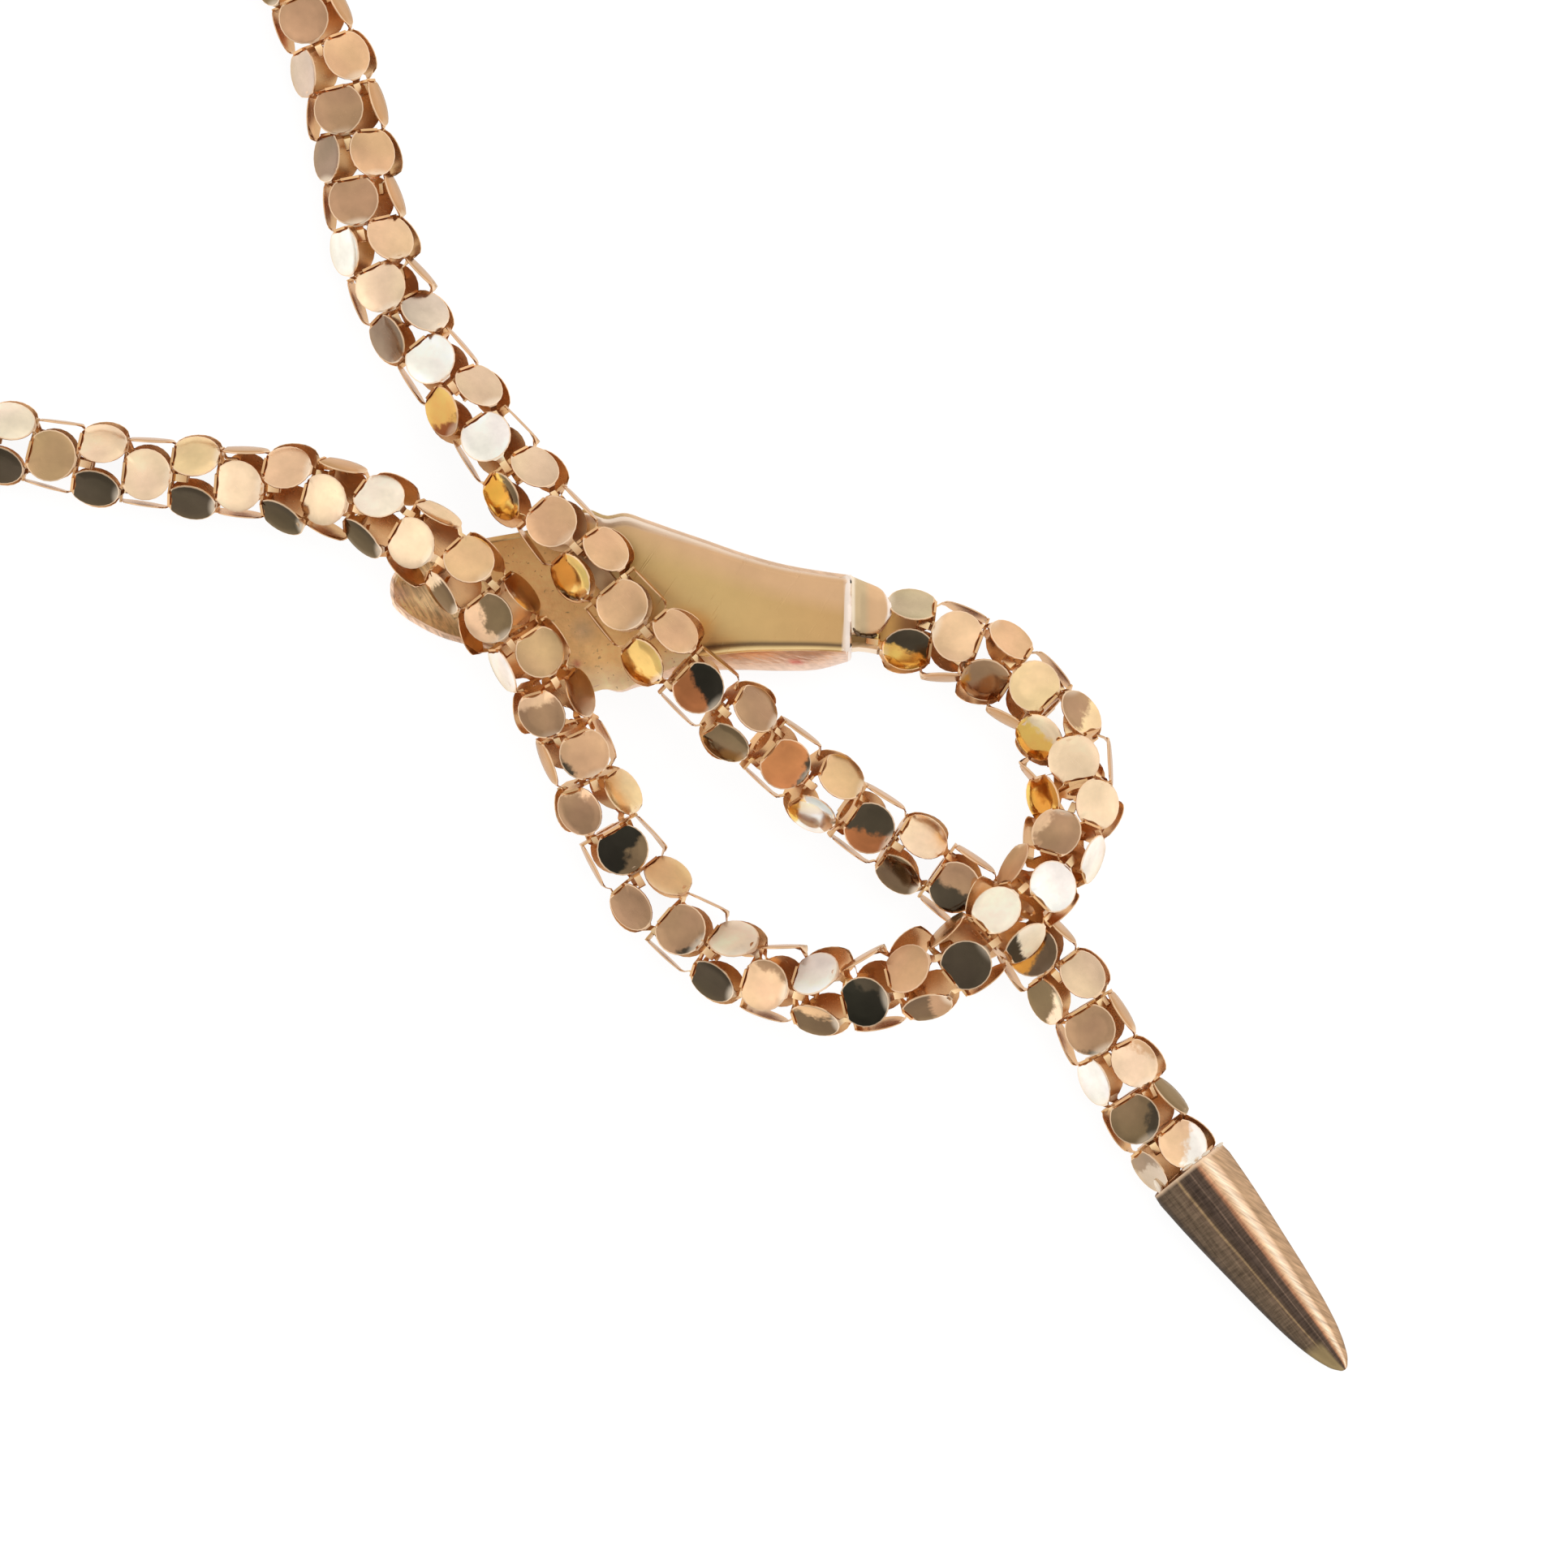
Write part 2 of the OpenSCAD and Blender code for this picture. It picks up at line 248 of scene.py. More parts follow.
def cup_axes(route, n):
    """Directions ahead, aside and outward of cup n, and its discs' middle."""
    ahead = unit(plate_at(route, n - 1) - plate_at(route, n))
    aside = unit(np.cross([0, 0, 1], ahead))
    up = np.cross(ahead, aside)
    turn = radians(through(route, n)[3] + 45 * (n % 2))
    return (ahead, aside * cos(turn) + up * sin(turn),
            up * cos(turn) - aside * sin(turn),
            plate_at(route, n) + FOLD * ahead)


def disc_lean(route, n, k):
    """Lean of disc k: more on the inner side of a bend and where cups close up."""
    ahead, aside, outward, middle = cup_axes(route, n)
    bend = cup_axes(route, n - 1)[0] - ahead
    pitch = np.linalg.norm(cup_axes(route, n - 1)[3] - middle)
    a = radians(90 * k)
    facing = outward * cos(a) - aside * sin(a)
    sag = SAG if -0.9 < facing[2] < -0.4 else 0.0
    return (LEAN + sag + BEND_LEAN * max(0.0, degrees(bend @ facing))
            + CLOSE_LEAN * max(0.0, PITCH - pitch))


print("pitch near the head:", round(float(np.linalg.norm(
    cup_axes(HEAD_ROUTE, 2)[3] - cup_axes(HEAD_ROUTE, 3)[3])), 2), "mm")

# %% [markdown]
# One disc with its tongue
#
# The real disc was cut from sheet, slightly domed by its punch, and left with a
# thin rim, which its colour brightens as a painted highlight. It could be a
# boolean of cylinders, but a circle that is cut, raised and inset keeps even
# faces for the dome. The strip next to the fold is lowered, as the sheet begins
# to bend there. The tongue is a small block whose end is drawn out, stepped
# down and spun into a hook.

# %% Model the disc once
SHEET = 0.2            # thickness of the metal
WALL, BORDER, DOME = 0.08, 0.13, 0.05     # wall, rim, and each step of the dome
STRIP = -1.48          # where the strip next to the fold begins
nothing_selected()
bpy.ops.mesh.primitive_circle_add(vertices=24, radius=DISC + 0.1,
                                  location=(0, 0, 0.05), fill_type="NGON")
disc = placed()
start_editing(disc)
bpy.ops.mesh.bisect(plane_co=(-FOLD, 0, 0), plane_no=(1, 0, 0), clear_inner=True)
bpy.ops.mesh.select_all(action="SELECT")
extrude((0, 0, WALL))
bpy.ops.mesh.inset(thickness=BORDER, depth=DOME)
extrude((0.03, 0, DOME))
bpy.ops.transform.resize(value=(0.6, 0.6, 1))
bpy.ops.mesh.select_all(action="SELECT")
bpy.ops.mesh.bisect(plane_co=(STRIP, 0, 0), plane_no=(1, 0, 0))
stop_editing()
for v in disc.data.vertices:
    if v.co.x < STRIP - 0.02 and v.co.z > WALL + 0.02:
        v.co.z -= 0.09
print("disc:", len(disc.data.polygons), "faces")

# %% Model the tongue once and join it to the disc
nothing_selected()
bpy.ops.mesh.primitive_cube_add(size=1, location=(1.5, 0, 0.11))
tongue = placed()
start_editing(tongue)
bpy.ops.transform.resize(value=(0.24, 1.76, 0.11))
pick_faces(tongue, lambda face: face.normal.x > 0.9)
for step, narrow in (((0.46, 0, -0.05), 0.38), ((0.26, 0, -0.26), 0.84),
                     ((0.75, 0, 0), 1)):
    extrude(step)
    bpy.ops.transform.resize(value=(1, narrow, 1))
end_face = [f for f in bmesh.from_edit_mesh(tongue.data).faces if f.select][0]
end_at = end_face.calc_center_median()
bpy.ops.mesh.spin(steps=3, angle=radians(-90), axis=(0, 1, 0),
                  center=(end_at.x, 0, end_at.z - 0.15))
extrude((0, 0, -0.62))
stop_editing()
lowest = min(v.co.z for v in tongue.data.vertices)
print("tongue hooks down to", round(FOLD_LEVEL - SHEET / 2 + lowest, 2), "mm")
disc_size = len(disc.data.vertices)
petal = join([disc, tongue], "petal_pattern")

# %% [markdown]
# The plate of the cup
#
# The four discs grow from a plate across the chain. It has four arms, four bars
# for the hooks of the next cup, and a round hole. Blocks are united and the hole
# is bored, which is how such a pierced plate is cut in the shop.

# %% Model the plate once


def block(size, turn=0.0):
    """A block in the plane of the plate, turned about the chain's line."""
    nothing_selected()
    bpy.ops.mesh.primitive_cube_add(size=1, location=(-FOLD, 0, 0))
    bpy.ops.transform.resize(value=size)
    shape = placed(scale=True)
    if turn:
        shape.rotation_euler.x = turn
        bpy.ops.object.transform_apply(location=False, rotation=True, scale=False)
    return shape


def cut_or_add(operation, tool):
    apply(plate, "BOOLEAN", operation=operation, object=tool, solver="EXACT")
    bpy.data.objects.remove(tool)


BAR, ARM, HOLE = 1.68, 0.74, 1.05     # half widths, and the radius of the hole
REACH = FOLD_LEVEL + SHEET / 2
plate = block((SHEET, 2 * BAR, 2 * BAR), radians(45))
# each arm is a little thinner, so that no two blocks share a face
arms = (block((SHEET * 0.98, 2 * REACH, 2 * ARM)),
        block((SHEET * 0.96, 2 * ARM, 2 * REACH)))
for arm in arms:
    cut_or_add("UNION", arm)
nothing_selected()
bpy.ops.mesh.primitive_cylinder_add(vertices=24, radius=HOLE, depth=2,
                                    location=(-FOLD, 0, 0),
                                    rotation=(0, radians(90), 0))
cut_or_add("DIFFERENCE", bpy.context.object)
print("plate:", len(plate.data.polygons), "faces")

# %% [markdown]
# Shades of the discs
#
# In the photo neighbouring discs differ strongly: each mirrors another part of
# the room, from white paper to the dark camera, and some mirror their gold
# neighbours. The light alone could not be known so exactly, so what each
# visible disc mirrors is charted one by one and painted into its colour as a
# reflection. Of the others, those at the sides of the chain take a darker
# bronze tint as painted shade, and the rest take a quiet shade at random. A
# disc is named by its side of the chain, its cup and its own number.

# %% Chart of shades
# Tints that paint what each disc mirrors, as painted reflections; the bronze one for
# discs at the sides is painted shade.
SHADES = {
    "white": (1.0, 0.96, 0.90), "ivory": (1.0, 0.89, 0.73),
    "cream": (0.95, 0.72, 0.50), "wheat": (0.66, 0.49, 0.33),
    "rose": (0.86, 0.58, 0.36), "sand": (0.70, 0.44, 0.25),
    "tan": (0.45, 0.275, 0.16), "grey": (0.36, 0.26, 0.19),
    "lemon": (1.0, 0.66, 0.22), "pearl": (0.64, 0.52, 0.42),
    "olive": (0.22, 0.15, 0.082), "umber": (0.155, 0.10, 0.06),
    "dark": (0.08, 0.062, 0.042), "black": (0.03, 0.027, 0.02),
    "rust": (0.42, 0.155, 0.06), "copper": (0.66, 0.27, 0.105),
    "amber": (0.66, 0.29, 0.055), "gold": (1.0, 0.60, 0.16),
    "side_shade": (0.54, 0.30, 0.15), "moss": (0.56, 0.45, 0.29),
    "straw": (0.76, 0.50, 0.27), "butter": (0.93, 0.69, 0.39),
    "khaki": (0.52, 0.345, 0.18)}
CHART = {
    "white": "T20.1 T22.1 H9.0 T25.1 T3.1 T11.1 H23.1 H8.1 H14.0",
    "ivory": "H35.0 H27.0 H16.0 H10.0 H10.1",
    "wheat": "T21.0 T5.0 T19.0",
    "cream": "H32.1 T24.1 H6.0 H30.1 H7.0 T3.0 H28.1 H26.1 "
             "H33.0 H26.0 T9.0 H5.3",
    "moss": "H1.0",
    "pearl": "T29.1 T1.1 T23.0",
    "rose": "H2.0 T1.0 H29.0 T25.0 H15.0",
    "sand": "T18.1 T16.1 T27.0 T29.0 T15.0 T17.0 H21.0 H3.0 "
            "T7.1 H12.0 H24.0 H9.3",
    "tan": "T4.1 H17.0 T26.1 T28.1 T30.1 H8.0 H22.1 H5.0 T13.0 H20.1 "
           "H22.0 H18.1 H3.3",
    "grey": "T27.1 T23.1",
    "olive": "T2.1 H24.1 T13.1 T2.0 T5.1",
    "umber": "H25.1 H12.1 H14.1 T9.1",
    "dark": "H16.1 H31.1 H33.1 H27.1 H29.1 H35.1 H11.0 T10.1 T8.1",
    "black": "H19.0 H13.0 T14.1",
    "copper": "T12.1",
    "amber": "T6.1",
    "gold": "H1.3 T19.1 H7.3",
    "lemon": "T15.1 T21.1 T17.1",
    "straw": "T11.0 H25.0",
    "butter": "H20.0 H31.0 H4.0 H18.0",
    "khaki": "H23.0 H34.1"}
shade_of = {disc_name: shade for shade, names in CHART.items()
            for disc_name in names.split()}
print(len(SHADES), "shades,", len(shade_of), "discs are charted")

# %% Discs in two shades, dull ones, and the quiet shades of the others
# disc: second shade, a second painted reflection, the side it lies on (degrees from +X),
# how far out it starts
SPLIT = {
    "H1.3": ("dark", 60, -0.05), "T10.1": ("rust", 265, 0.2),
    "T12.1": ("dark", 335, 0.7), "T14.1": ("rust", 205, 0.0),
    "H17.0": ("dark", 310, 0.72), "H15.0": ("tan", 60, 0.68),
    "H5.3": ("gold", 215, -0.2), "T6.1": ("umber", 330, 0.25),
    "H5.0": ("butter", 330, 0.15), "H21.0": ("dark", 215, 0.9),
    "H7.3": ("amber", 20, 0.1), "T11.1": ("gold", 160, 0.5),
    "T8.1": ("tan", 55, 0.0), "T2.1": ("dark", 0, 0.55),
    "H24.1": ("rose", 205, 0.1), "H25.1": ("cream", 130, 0.35),
    "H22.1": ("rose", 110, 0.4), "H20.1": ("rose", 85, 0.6),
    "H12.1": ("tan", 20, 0.2), "T4.1": ("dark", 285, 0.85),
    "T13.1": ("amber", 235, 0.55), "T3.0": ("sand", 60, 0.5),
    "T9.1": ("olive", 95, 0.35), "H14.1": ("sand", 80, 0.3),
    "H3.3": ("amber", 170, 0.7), "H19.0": ("olive", 330, 0.35),
    "T21.1": ("rust", 300, 0.5), "T19.1": ("olive", 30, 0.35),
    "T17.1": ("olive", 250, 0.6), "T15.1": ("amber", 245, 0.35),
    "H10.1": ("dark", 195, 0.2), "T5.1": ("cream", 350, 0.45),
    "T1.0": ("white", 345, 0.15), "T1.1": ("grey", 110, 0.15),
    "H13.0": ("dark", 60, 0.5), "H8.0": ("rose", 130, 0.5)}
WHOLE = (None, 0, 9)
DULL = {"H16.0", "H14.0", "H9.3", "H35.0", "H18.0", "T7.1", "H10.1", "H12.0",
        "T21.1"}
QUIET = ["cream", "rose", "sand", "rose", "tan", "sand", "cream", "olive"]
chance = random.Random(7)
print(len(SPLIT), "discs show two shades,", len(DULL), "are dull")

# %% [markdown]
# Copying the cup along the route
#
# The pattern disc is turned into its four places, leaned as its solid leans,
# and set on the route. All cups of one side of the chain become one mesh, and
# four attributes go with it: the two shades of each disc, the first with its
# dullness, the line that parts them, and where on its disc each point lies.

# %% Parts of the pattern disc
# Painted light on the pattern disc: the rim tint is a painted highlight along the bevel,
# the plate and the backs of the discs are darkened as painted shade, and the tongue's
# bright gold is a painted highlight where it bends over.
RIM_HIGHLIGHT = (0.90, 0.64, 0.43)         # rubbed bright at every edge
PLATE_IN_SHADE = (0.73, 0.45, 0.23)  # between the discs, never polished
INSIDE_IN_SHADE = (0.71, 0.43, 0.22)      # back of every disc
TONGUE_HIGHLIGHT = (0.95, 0.70, 0.42)
petal_points = np.array([v.co for v in petal.data.vertices], float)
petal_faces = [tuple(p.vertices) for p in petal.data.polygons]
plate_points = np.array([v.co for v in plate.data.vertices], float)
plate_faces = [tuple(p.vertices) for p in plate.data.polygons]
petal_x, petal_y, petal_z = petal_points.T
is_tongue = np.arange(len(petal_points)) >= disc_size
top = (petal_z > 0.12) & ~is_tongue
at_rim = np.hypot(petal_x, petal_y) > DISC + 0.05
neck = is_tongue & (petal_x < 2.2)
hook = is_tongue & (petal_x > 2.4)
# along and across the disc, then 1 on its face, 0 at its rim and -1 elsewhere
petal_place = np.stack([petal_x / DISC, petal_y / DISC,
                        np.where(top, np.where(at_rim, 0, 1), -1)], 1)
plate_values = ((*PLATE_IN_SHADE, 0.35), (*PLATE_IN_SHADE, 1), (1, 0, 9), (0, 0, -1))
print(top.sum(), "points on the face of a disc")

# %% Lean and shades of one disc


def leaned(points, lean):
    """Pattern points at their height in the cup, leaned about the fold.

    The tongue keeps its level where it runs over the next plate."""
    x, y, z = points[:, 0], points[:, 1], points[:, 2] - SHEET / 2
    e = radians(lean)
    stay = np.clip((x - 1.75) / 0.55, 0, 1)
    stay = stay * stay * (3 - 2 * stay)
    turned_x = -FOLD + (x + FOLD) * cos(e) - z * sin(e)
    turned_z = (x + FOLD) * sin(e) + z * cos(e)
    return np.stack([turned_x * (1 - stay) + x * stay, y,
                     FOLD_LEVEL + turned_z * (1 - stay) + z * stay], 1)


def disc_shades(key, upward):
    """Both shades of a disc's points, with dullness as their fourth number."""
    # an uncharted disc at the side of the chain takes the darker bronze tint, a painted
    # shade
    quiet = "side_shade" if abs(upward) < 0.5 else chance.choice(QUIET)
    shade = SHADES[shade_of.get(key, quiet)]
    second = SPLIT.get(key, WHOLE)[0]
    # dull discs blur what they mirror, those in two shades mirror it sharply
    dull = 1.3 if key in DULL else 0.0 if second else 0.3
    first = np.ones((len(petal_points), 1)) * (*shade, dull)
    # backs and hooks in painted shade, the tongue and its neck in painted highlight
    first[petal_z < 0.1] = (*INSIDE_IN_SHADE, 0.35)
    first[is_tongue] = (*TONGUE_HIGHLIGHT, 0.3)
    first[neck, :3] = np.array(shade) * 0.5 + np.array(RIM_HIGHLIGHT) * 0.5
    first[hook] = (*INSIDE_IN_SHADE, 0.35)
    other = first.copy()
    if second:
        other[top, :3] = SHADES[second]
    return first, other


# %% Build a string of cups


def mesh_object(name, points, faces, attributes):
    """A mesh in millimetres. An attribute of four numbers is a colour."""
    mesh = bpy.data.meshes.new(name)
    mesh.from_pydata((np.concatenate(points) * MM).tolist(), [], faces)
    for label, values in attributes.items():
        values = np.concatenate(values).astype(np.float32)
        colour = values.shape[1] == 4
        layer = mesh.attributes.new(
            label, "FLOAT_COLOR" if colour else "FLOAT_VECTOR", "POINT")
        layer.data.foreach_set("color" if colour else "vector", values.ravel())
    mesh.update()
    obj = bpy.data.objects.new(name, mesh)
    bpy.context.collection.objects.link(obj)
    return obj


def string_of_cups(name, cups):
    """One mesh of many cups. cups is a list of (side letter, route, number)."""
    points, faces = [], []
    attributes = {"tone": [], "tone_two": [], "split": [], "place": []}

    def add(shape, shape_faces, values):
        start = sum(len(p) for p in points)
        points.append(shape)
        faces.extend(tuple(i + start for i in f) for f in shape_faces)
        for kept, value in zip(attributes.values(), values):
            kept.append(np.ones((len(shape), 1)) * value)

    for side, route, n in cups:
        ahead, aside, outward, middle = cup_axes(route, n)
        axes = np.stack([ahead, aside, outward])
        add(plate_points @ axes + middle, plate_faces, plate_values)
        for k in range(4):
            c, s = cos(radians(90 * k)), sin(radians(90 * k))
            x, y, z = leaned(petal_points, disc_lean(route, n, k)).T
            shape = np.stack([x, y * c - z * s, y * s + z * c], 1)
            key = f"{side}{n}.{k}"
            first, other = disc_shades(key, (outward * c - aside * s)[2])
            angle, start = SPLIT.get(key, WHOLE)[1:]
            way = np.array([cos(radians(angle)),
                            sin(radians(angle)), 0])
            split = (way @ ahead, way @ (aside * c + outward * s), start)
            add(shape @ axes + middle, petal_faces, (first, other, split, petal_place))
    obj = mesh_object(name, points, faces, attributes)
    smooth(obj, 22)
    print(name, len(cups), "cups,", sum(len(f) - 2 for f in faces), "triangles")
    return obj


head_chain = string_of_cups("head_chain_cups",
                            [("H", HEAD_ROUTE, n) for n in range(1, 73)])
tail_chain = string_of_cups("tail_chain_cups",
                            [("T", TAIL_ROUTE, n) for n in range(1, 67)])
joining = string_of_cups("joining_cups",
                         [("H", HEAD_ROUTE, 73), ("T", TAIL_ROUTE, 67)])
for pattern in (petal, plate):
    bpy.data.objects.remove(pattern)

# %% [markdown]
# The pressed head
#
# The head was struck from sheet over a former: a long trough that is widest at
# the jaws and closes at the snout. It is built as a grid laid over a table of
# cross-sections and given its wall by Solidify, which keeps one even sheet
# inside and out, as the real pressing has.

# %% Sections of the head
# x, y of the lower edge, y of the upper edge, bulge of the cheek, rim, front
HEAD_SECTIONS = [
    (55.6, -32.9, -27.0, 0.9, 6.0, 0.3), (53.5, -32.8, -26.7, 1.6, 5.7, 0.1),
    (50.5, -32.8, -26.15, 1.75, 5.3, 0.0), (47.5, -32.9, -25.3, 1.6, 4.9, 0.0),
    (44.5, -33.3, -24.25, 1.3, 4.5, 0.0), (42.0, -34.1, -23.4, 1.0, 4.3, 0.0),
    (40.0, -35.0, -22.7, 0.7, 4.15, 0.0), (38.4, -35.7, -22.2, 0.4, 4.05, 0.0),
    (37.0, -35.8, -22.4, 0.2, 3.95, 0.0), (35.5, -35.9, -21.9, 0, 3.85, 0.0),
    (33.5, -35.2, -22.5, 0, 3.7, 0.0), (31.0, -33.9, -23.5, 0, 3.6, 0.0),
    (28.5, -32.9, -24.0, 0, 3.55, 0.0), (26.2, -32.3, -24.4, 0, 3.5, 0.05),
    (24.2, -31.7, -24.8, 0, 3.45, 0.1), (22.4, -30.8, -25.5, 0, 3.3, 0.3),
    (21.1, -29.9, -26.3, 0, 3.05, 0.7), (20.6, -29.35, -26.85, 0, 2.9, 1.0),
    (20.38, -28.8, -27.25, 0, 2.75, 1.2), (20.27, -28.3, -27.65, 0, 2.6, 1.35)]
BY_X = [(-row[0],) + row[1:] for row in HEAD_SECTIONS]
SNOUT, NECK = 20.27, 55.6
SHEARED = (31.5, 41.5)     # stretch of the open edge that wavers


def head_section(x):
    """The head's measures at x: lower edge, upper edge, cheek, rim, front."""
    measures = through(BY_X, -x)
    start, end = SHEARED
    if start < x < end:      # it was trimmed with shears
        measures[0] += (0.09 * sin(2.6 * x)
                        * sin(pi * (x - start) / (end - start)))
    return measures


print("width at the jaws:", round(float(np.diff(head_section(36)[:2])[0]), 2), "mm")

# %% The trough over the sections, and its grid


def trough_point(x, v, wall=0.0):
    """Point of the pressing at x; v runs from the lower rim to the upper."""
    low, up, cheek, rim, front = head_section(x)
    a = pi * (1 + v)
    c, s = cos(a), max(0.0, -sin(a))
    deep = s ** 0.8
    mid, half = (low + up) / 2, (up - low) / 2 - wall
    y = mid + half * copysign(abs(c) ** 0.75, c)
    if c < 0:
        y -= max(cheek, 0) * sin(pi * deep)
    return Vector((x, y, rim - (rim - front - wall) * deep))


def laid_grid(name, columns, rows, point):
    """A grid primitive whose points are moved to point(u, v), in millimetres."""
    nothing_selected()
    bpy.ops.mesh.primitive_grid_add(x_subdivisions=columns, y_subdivisions=rows, size=2)
    obj = bpy.context.object
    obj.name = obj.data.name = name
    for v in obj.data.vertices:
        v.co = point((v.co.x + 1) / 2, (v.co.y + 1) / 2) * MM
    return obj


def outwards(obj):
    """Merges doubled points and turns the faces outwards."""
    start_editing(obj)
    bpy.ops.mesh.remove_doubles(threshold=0.00001)
    bpy.ops.mesh.normals_make_consistent(inside=False)
    stop_editing()


def walled(obj, wall, rounding):
    """Gives a surface an even wall with rounded edges."""
    apply(obj, "SOLIDIFY", thickness=wall * MM, offset=-1, use_rim=True)
    apply(obj, "BEVEL", width=rounding * MM, segments=2, limit_method="ANGLE",
          angle_limit=radians(50))
    smooth(obj)
    return obj


head_shell = laid_grid(
    "head_pressing", 110, 56,
    lambda u, v: trough_point(SNOUT + (NECK - SNOUT) * u ** 1.5, v))
tell(head_shell)

# %% Close the snout and give the pressing its wall
start_editing(head_shell)
bpy.ops.mesh.select_all(action="DESELECT")
for edge in bmesh.from_edit_mesh(head_shell.data).edges:
    if edge.is_boundary and all(abs(v.co.x - SNOUT * MM) < 1e-6 for v in edge.verts):
        edge.select_set(True)
bmesh.update_edit_mesh(head_shell.data)
bpy.ops.mesh.edge_face_add()
bpy.ops.mesh.select_all(action="SELECT")
bpy.ops.mesh.normals_make_consistent(inside=False)
stop_editing()
walled(head_shell, 0.4, 0.12)
tell(head_shell)

# %% [markdown]
# The two sheets on the back of the head
#
# Behind the neck a flat sheet closes the pressing. Its upper edge is rolled
# over, its lower edge stands as a thin lip, painted bright as a highlight, and
# at the neck it bends down. In front of it, under the crossing tail, the hollow
# is flooded with solder and left sandy, and at the snout it is scraped out like
# a spoon. Both sheets are grids that follow the table of sections. They meet
# along a slanting line that lies hidden under the chain.

# %% Back sheet and solder-flooded lining
CROWN = 0.26               # rise of the back sheet in its middle
ROLLED, LIP_WIDE = 0.8, 0.3       # widths of its rolled upper edge and lower lip


def slant(v):
    """x where the polished sheet ends and the sandy one begins."""
    return 44.3 - 10.6 * v


def neck_edge(v):
    """x where the polished sheet bends down at the neck."""
    return NECK + 0.28 - 0.32 * (1 - v) ** 2


def back_plate_point(u, v):
    """The polished sheet: u runs to the neck, v from the lower rim to the upper."""
    start, end = slant(v), neck_edge(v)
    x = start + (end - start) * u
    low, up, cheek, rim, front = head_section(min(x, NECK))
    low, up = low - 0.04, up + 0.05
    y = low + (up - low) * v
    near_top, near_low = (up - y) / ROLLED, (y - low) / LIP_WIDE
    z = rim + CROWN * sin(pi * v) ** 0.8 + 0.02
    if near_top < 1:
        z += 0.16 * sin(pi * min(1, near_top)) - 0.45 * (1 - near_top) ** 2
    if near_low < 1:
        z += 0.10 * sin(pi * near_low)
    bend = max(0.0, (x - end + 0.6) / 0.6)
    return Vector((x, y, z - 0.42 * bend ** 2))


def lining_point(u, v):
    """The solder-flooded back, which dips into a round hollow at the snout."""
    x = SNOUT + 0.03 + (slant(v) + 0.6 - SNOUT - 0.03) * u ** 1.6
    low, up, cheek, rim, front = head_section(x)
    y = low - 0.03 + (up - low + 0.06) * v
    sides = (y - low, up - y, 1.1 * (x - SNOUT))
    in_from_rim = sum(max(0.02, s) ** -3 for s in sides) ** (-1 / 3)
    inner = min(1.0, max(0.0, (in_from_rim - 0.3) / 1.5))
    snout = min(1.0, max(0.0, (31 - x) / 6))
    depth = 0.35 + 1.25 * snout      # 1.6 mm in the hollow at the snout
    return Vector((x, y, rim + 0.02 - depth * (1 - (1 - inner) ** 2)))


def sheet(name, columns, rows, point, wall, rounding):
    return walled(laid_grid(name, columns, rows, point), wall, rounding)


back_plate = sheet("head_back_plate", 90, 60, back_plate_point, 0.28, 0.05)
lining = sheet("head_lining", 90, 60, lining_point, 0.3, 0.05)
tell(back_plate, lining)

# %% [markdown]
# Rings drawn up into a tube
#
# The end of the neck, the collar, the clasp strip, the tail tip and the two end
# plates are all tubes of changing section. One helper draws a circle up ring
# by ring and then moves every ring to its place, as a smith draws up a tube.

# %% Rings drawn up into a tube, for the neck, the collar and the tail tip


def column_of_rings(name, rings, capped=True, angle=40):
    """A circle drawn up ring by ring, whose rings are then moved to their places."""
    sides = len(rings[0])
    nothing_selected()
    bpy.ops.mesh.primitive_circle_add(vertices=sides, radius=1,
                                      fill_type="NGON" if capped else "NOTHING")
    obj = bpy.context.object
    obj.name = obj.data.name = name
    start_editing(obj)
    for _ in rings[1:]:
        extrude((0, 0, 1))
    stop_editing()
    for v in obj.data.vertices:
        turn = atan2(v.co.y, v.co.x) / (2 * pi) * sides
        v.co = Vector(rings[round(v.co.z)][round(turn) % sides]) * MM
    outwards(obj)
    smooth(obj, angle)
    return obj


def neck_ring(x, inset):
    """The neck's outline at x, drawn in by inset: the trough, then the sheet."""
    low, up, cheek, rim, front = head_section(NECK)
    ring = []
    for i in range(64):
        v = i / 32
        if v <= 1:
            p = trough_point(NECK, v, inset)
        else:
            w = v - 1
            p = Vector((0, up - inset - (up - low - 2 * inset) * w,
                        rim + CROWN * sin(pi * w) ** 0.8 - inset * 0.6))
        ring.append((x, p.y, p.z))
    return ring


neck_end = column_of_rings("head_neck_end", [
    neck_ring(x, inset) for x, inset in (
        (54.9, 0.2), (55.5, 0.0), (55.75, 0.06), (55.88, 0.3), (55.88, 0.6))])
tell(neck_end)

# %% [markdown]
# Collar and clasp
#
# A short square collar is soldered into the neck, and the first cup hooks into
# its plate. The clasp behind the head lies under the tail and is a plain strip.

# %% Collar
ahead, aside, outward, middle = cup_axes(HEAD_ROUTE, 0)
COLLAR_MIDDLE = middle + (0, 0.08, -0.35)
CORNER = 0.62              # share of a side that the cut corners leave


def collar_ring(x, reach):
    """A square with cut corners across the chain at x of cup 0's own line."""
    corners = []
    for quarter in range(4):
        a = radians(90 * quarter)
        for end in (-1, 1):
            out_way = end * reach * CORNER
            corners.append(np.array([reach * cos(a) - out_way * sin(a),
                                     reach * sin(a) + out_way * cos(a)]))
    ring = []
    for here, after in zip(corners, corners[1:] + corners[:1]):
        for w in (0, 0.25, 0.5, 0.75):
            b, c = here * (1 - w) + after * w
            ring.append(tuple(COLLAR_MIDDLE + ahead * x + aside * b + outward * c))
    return ring


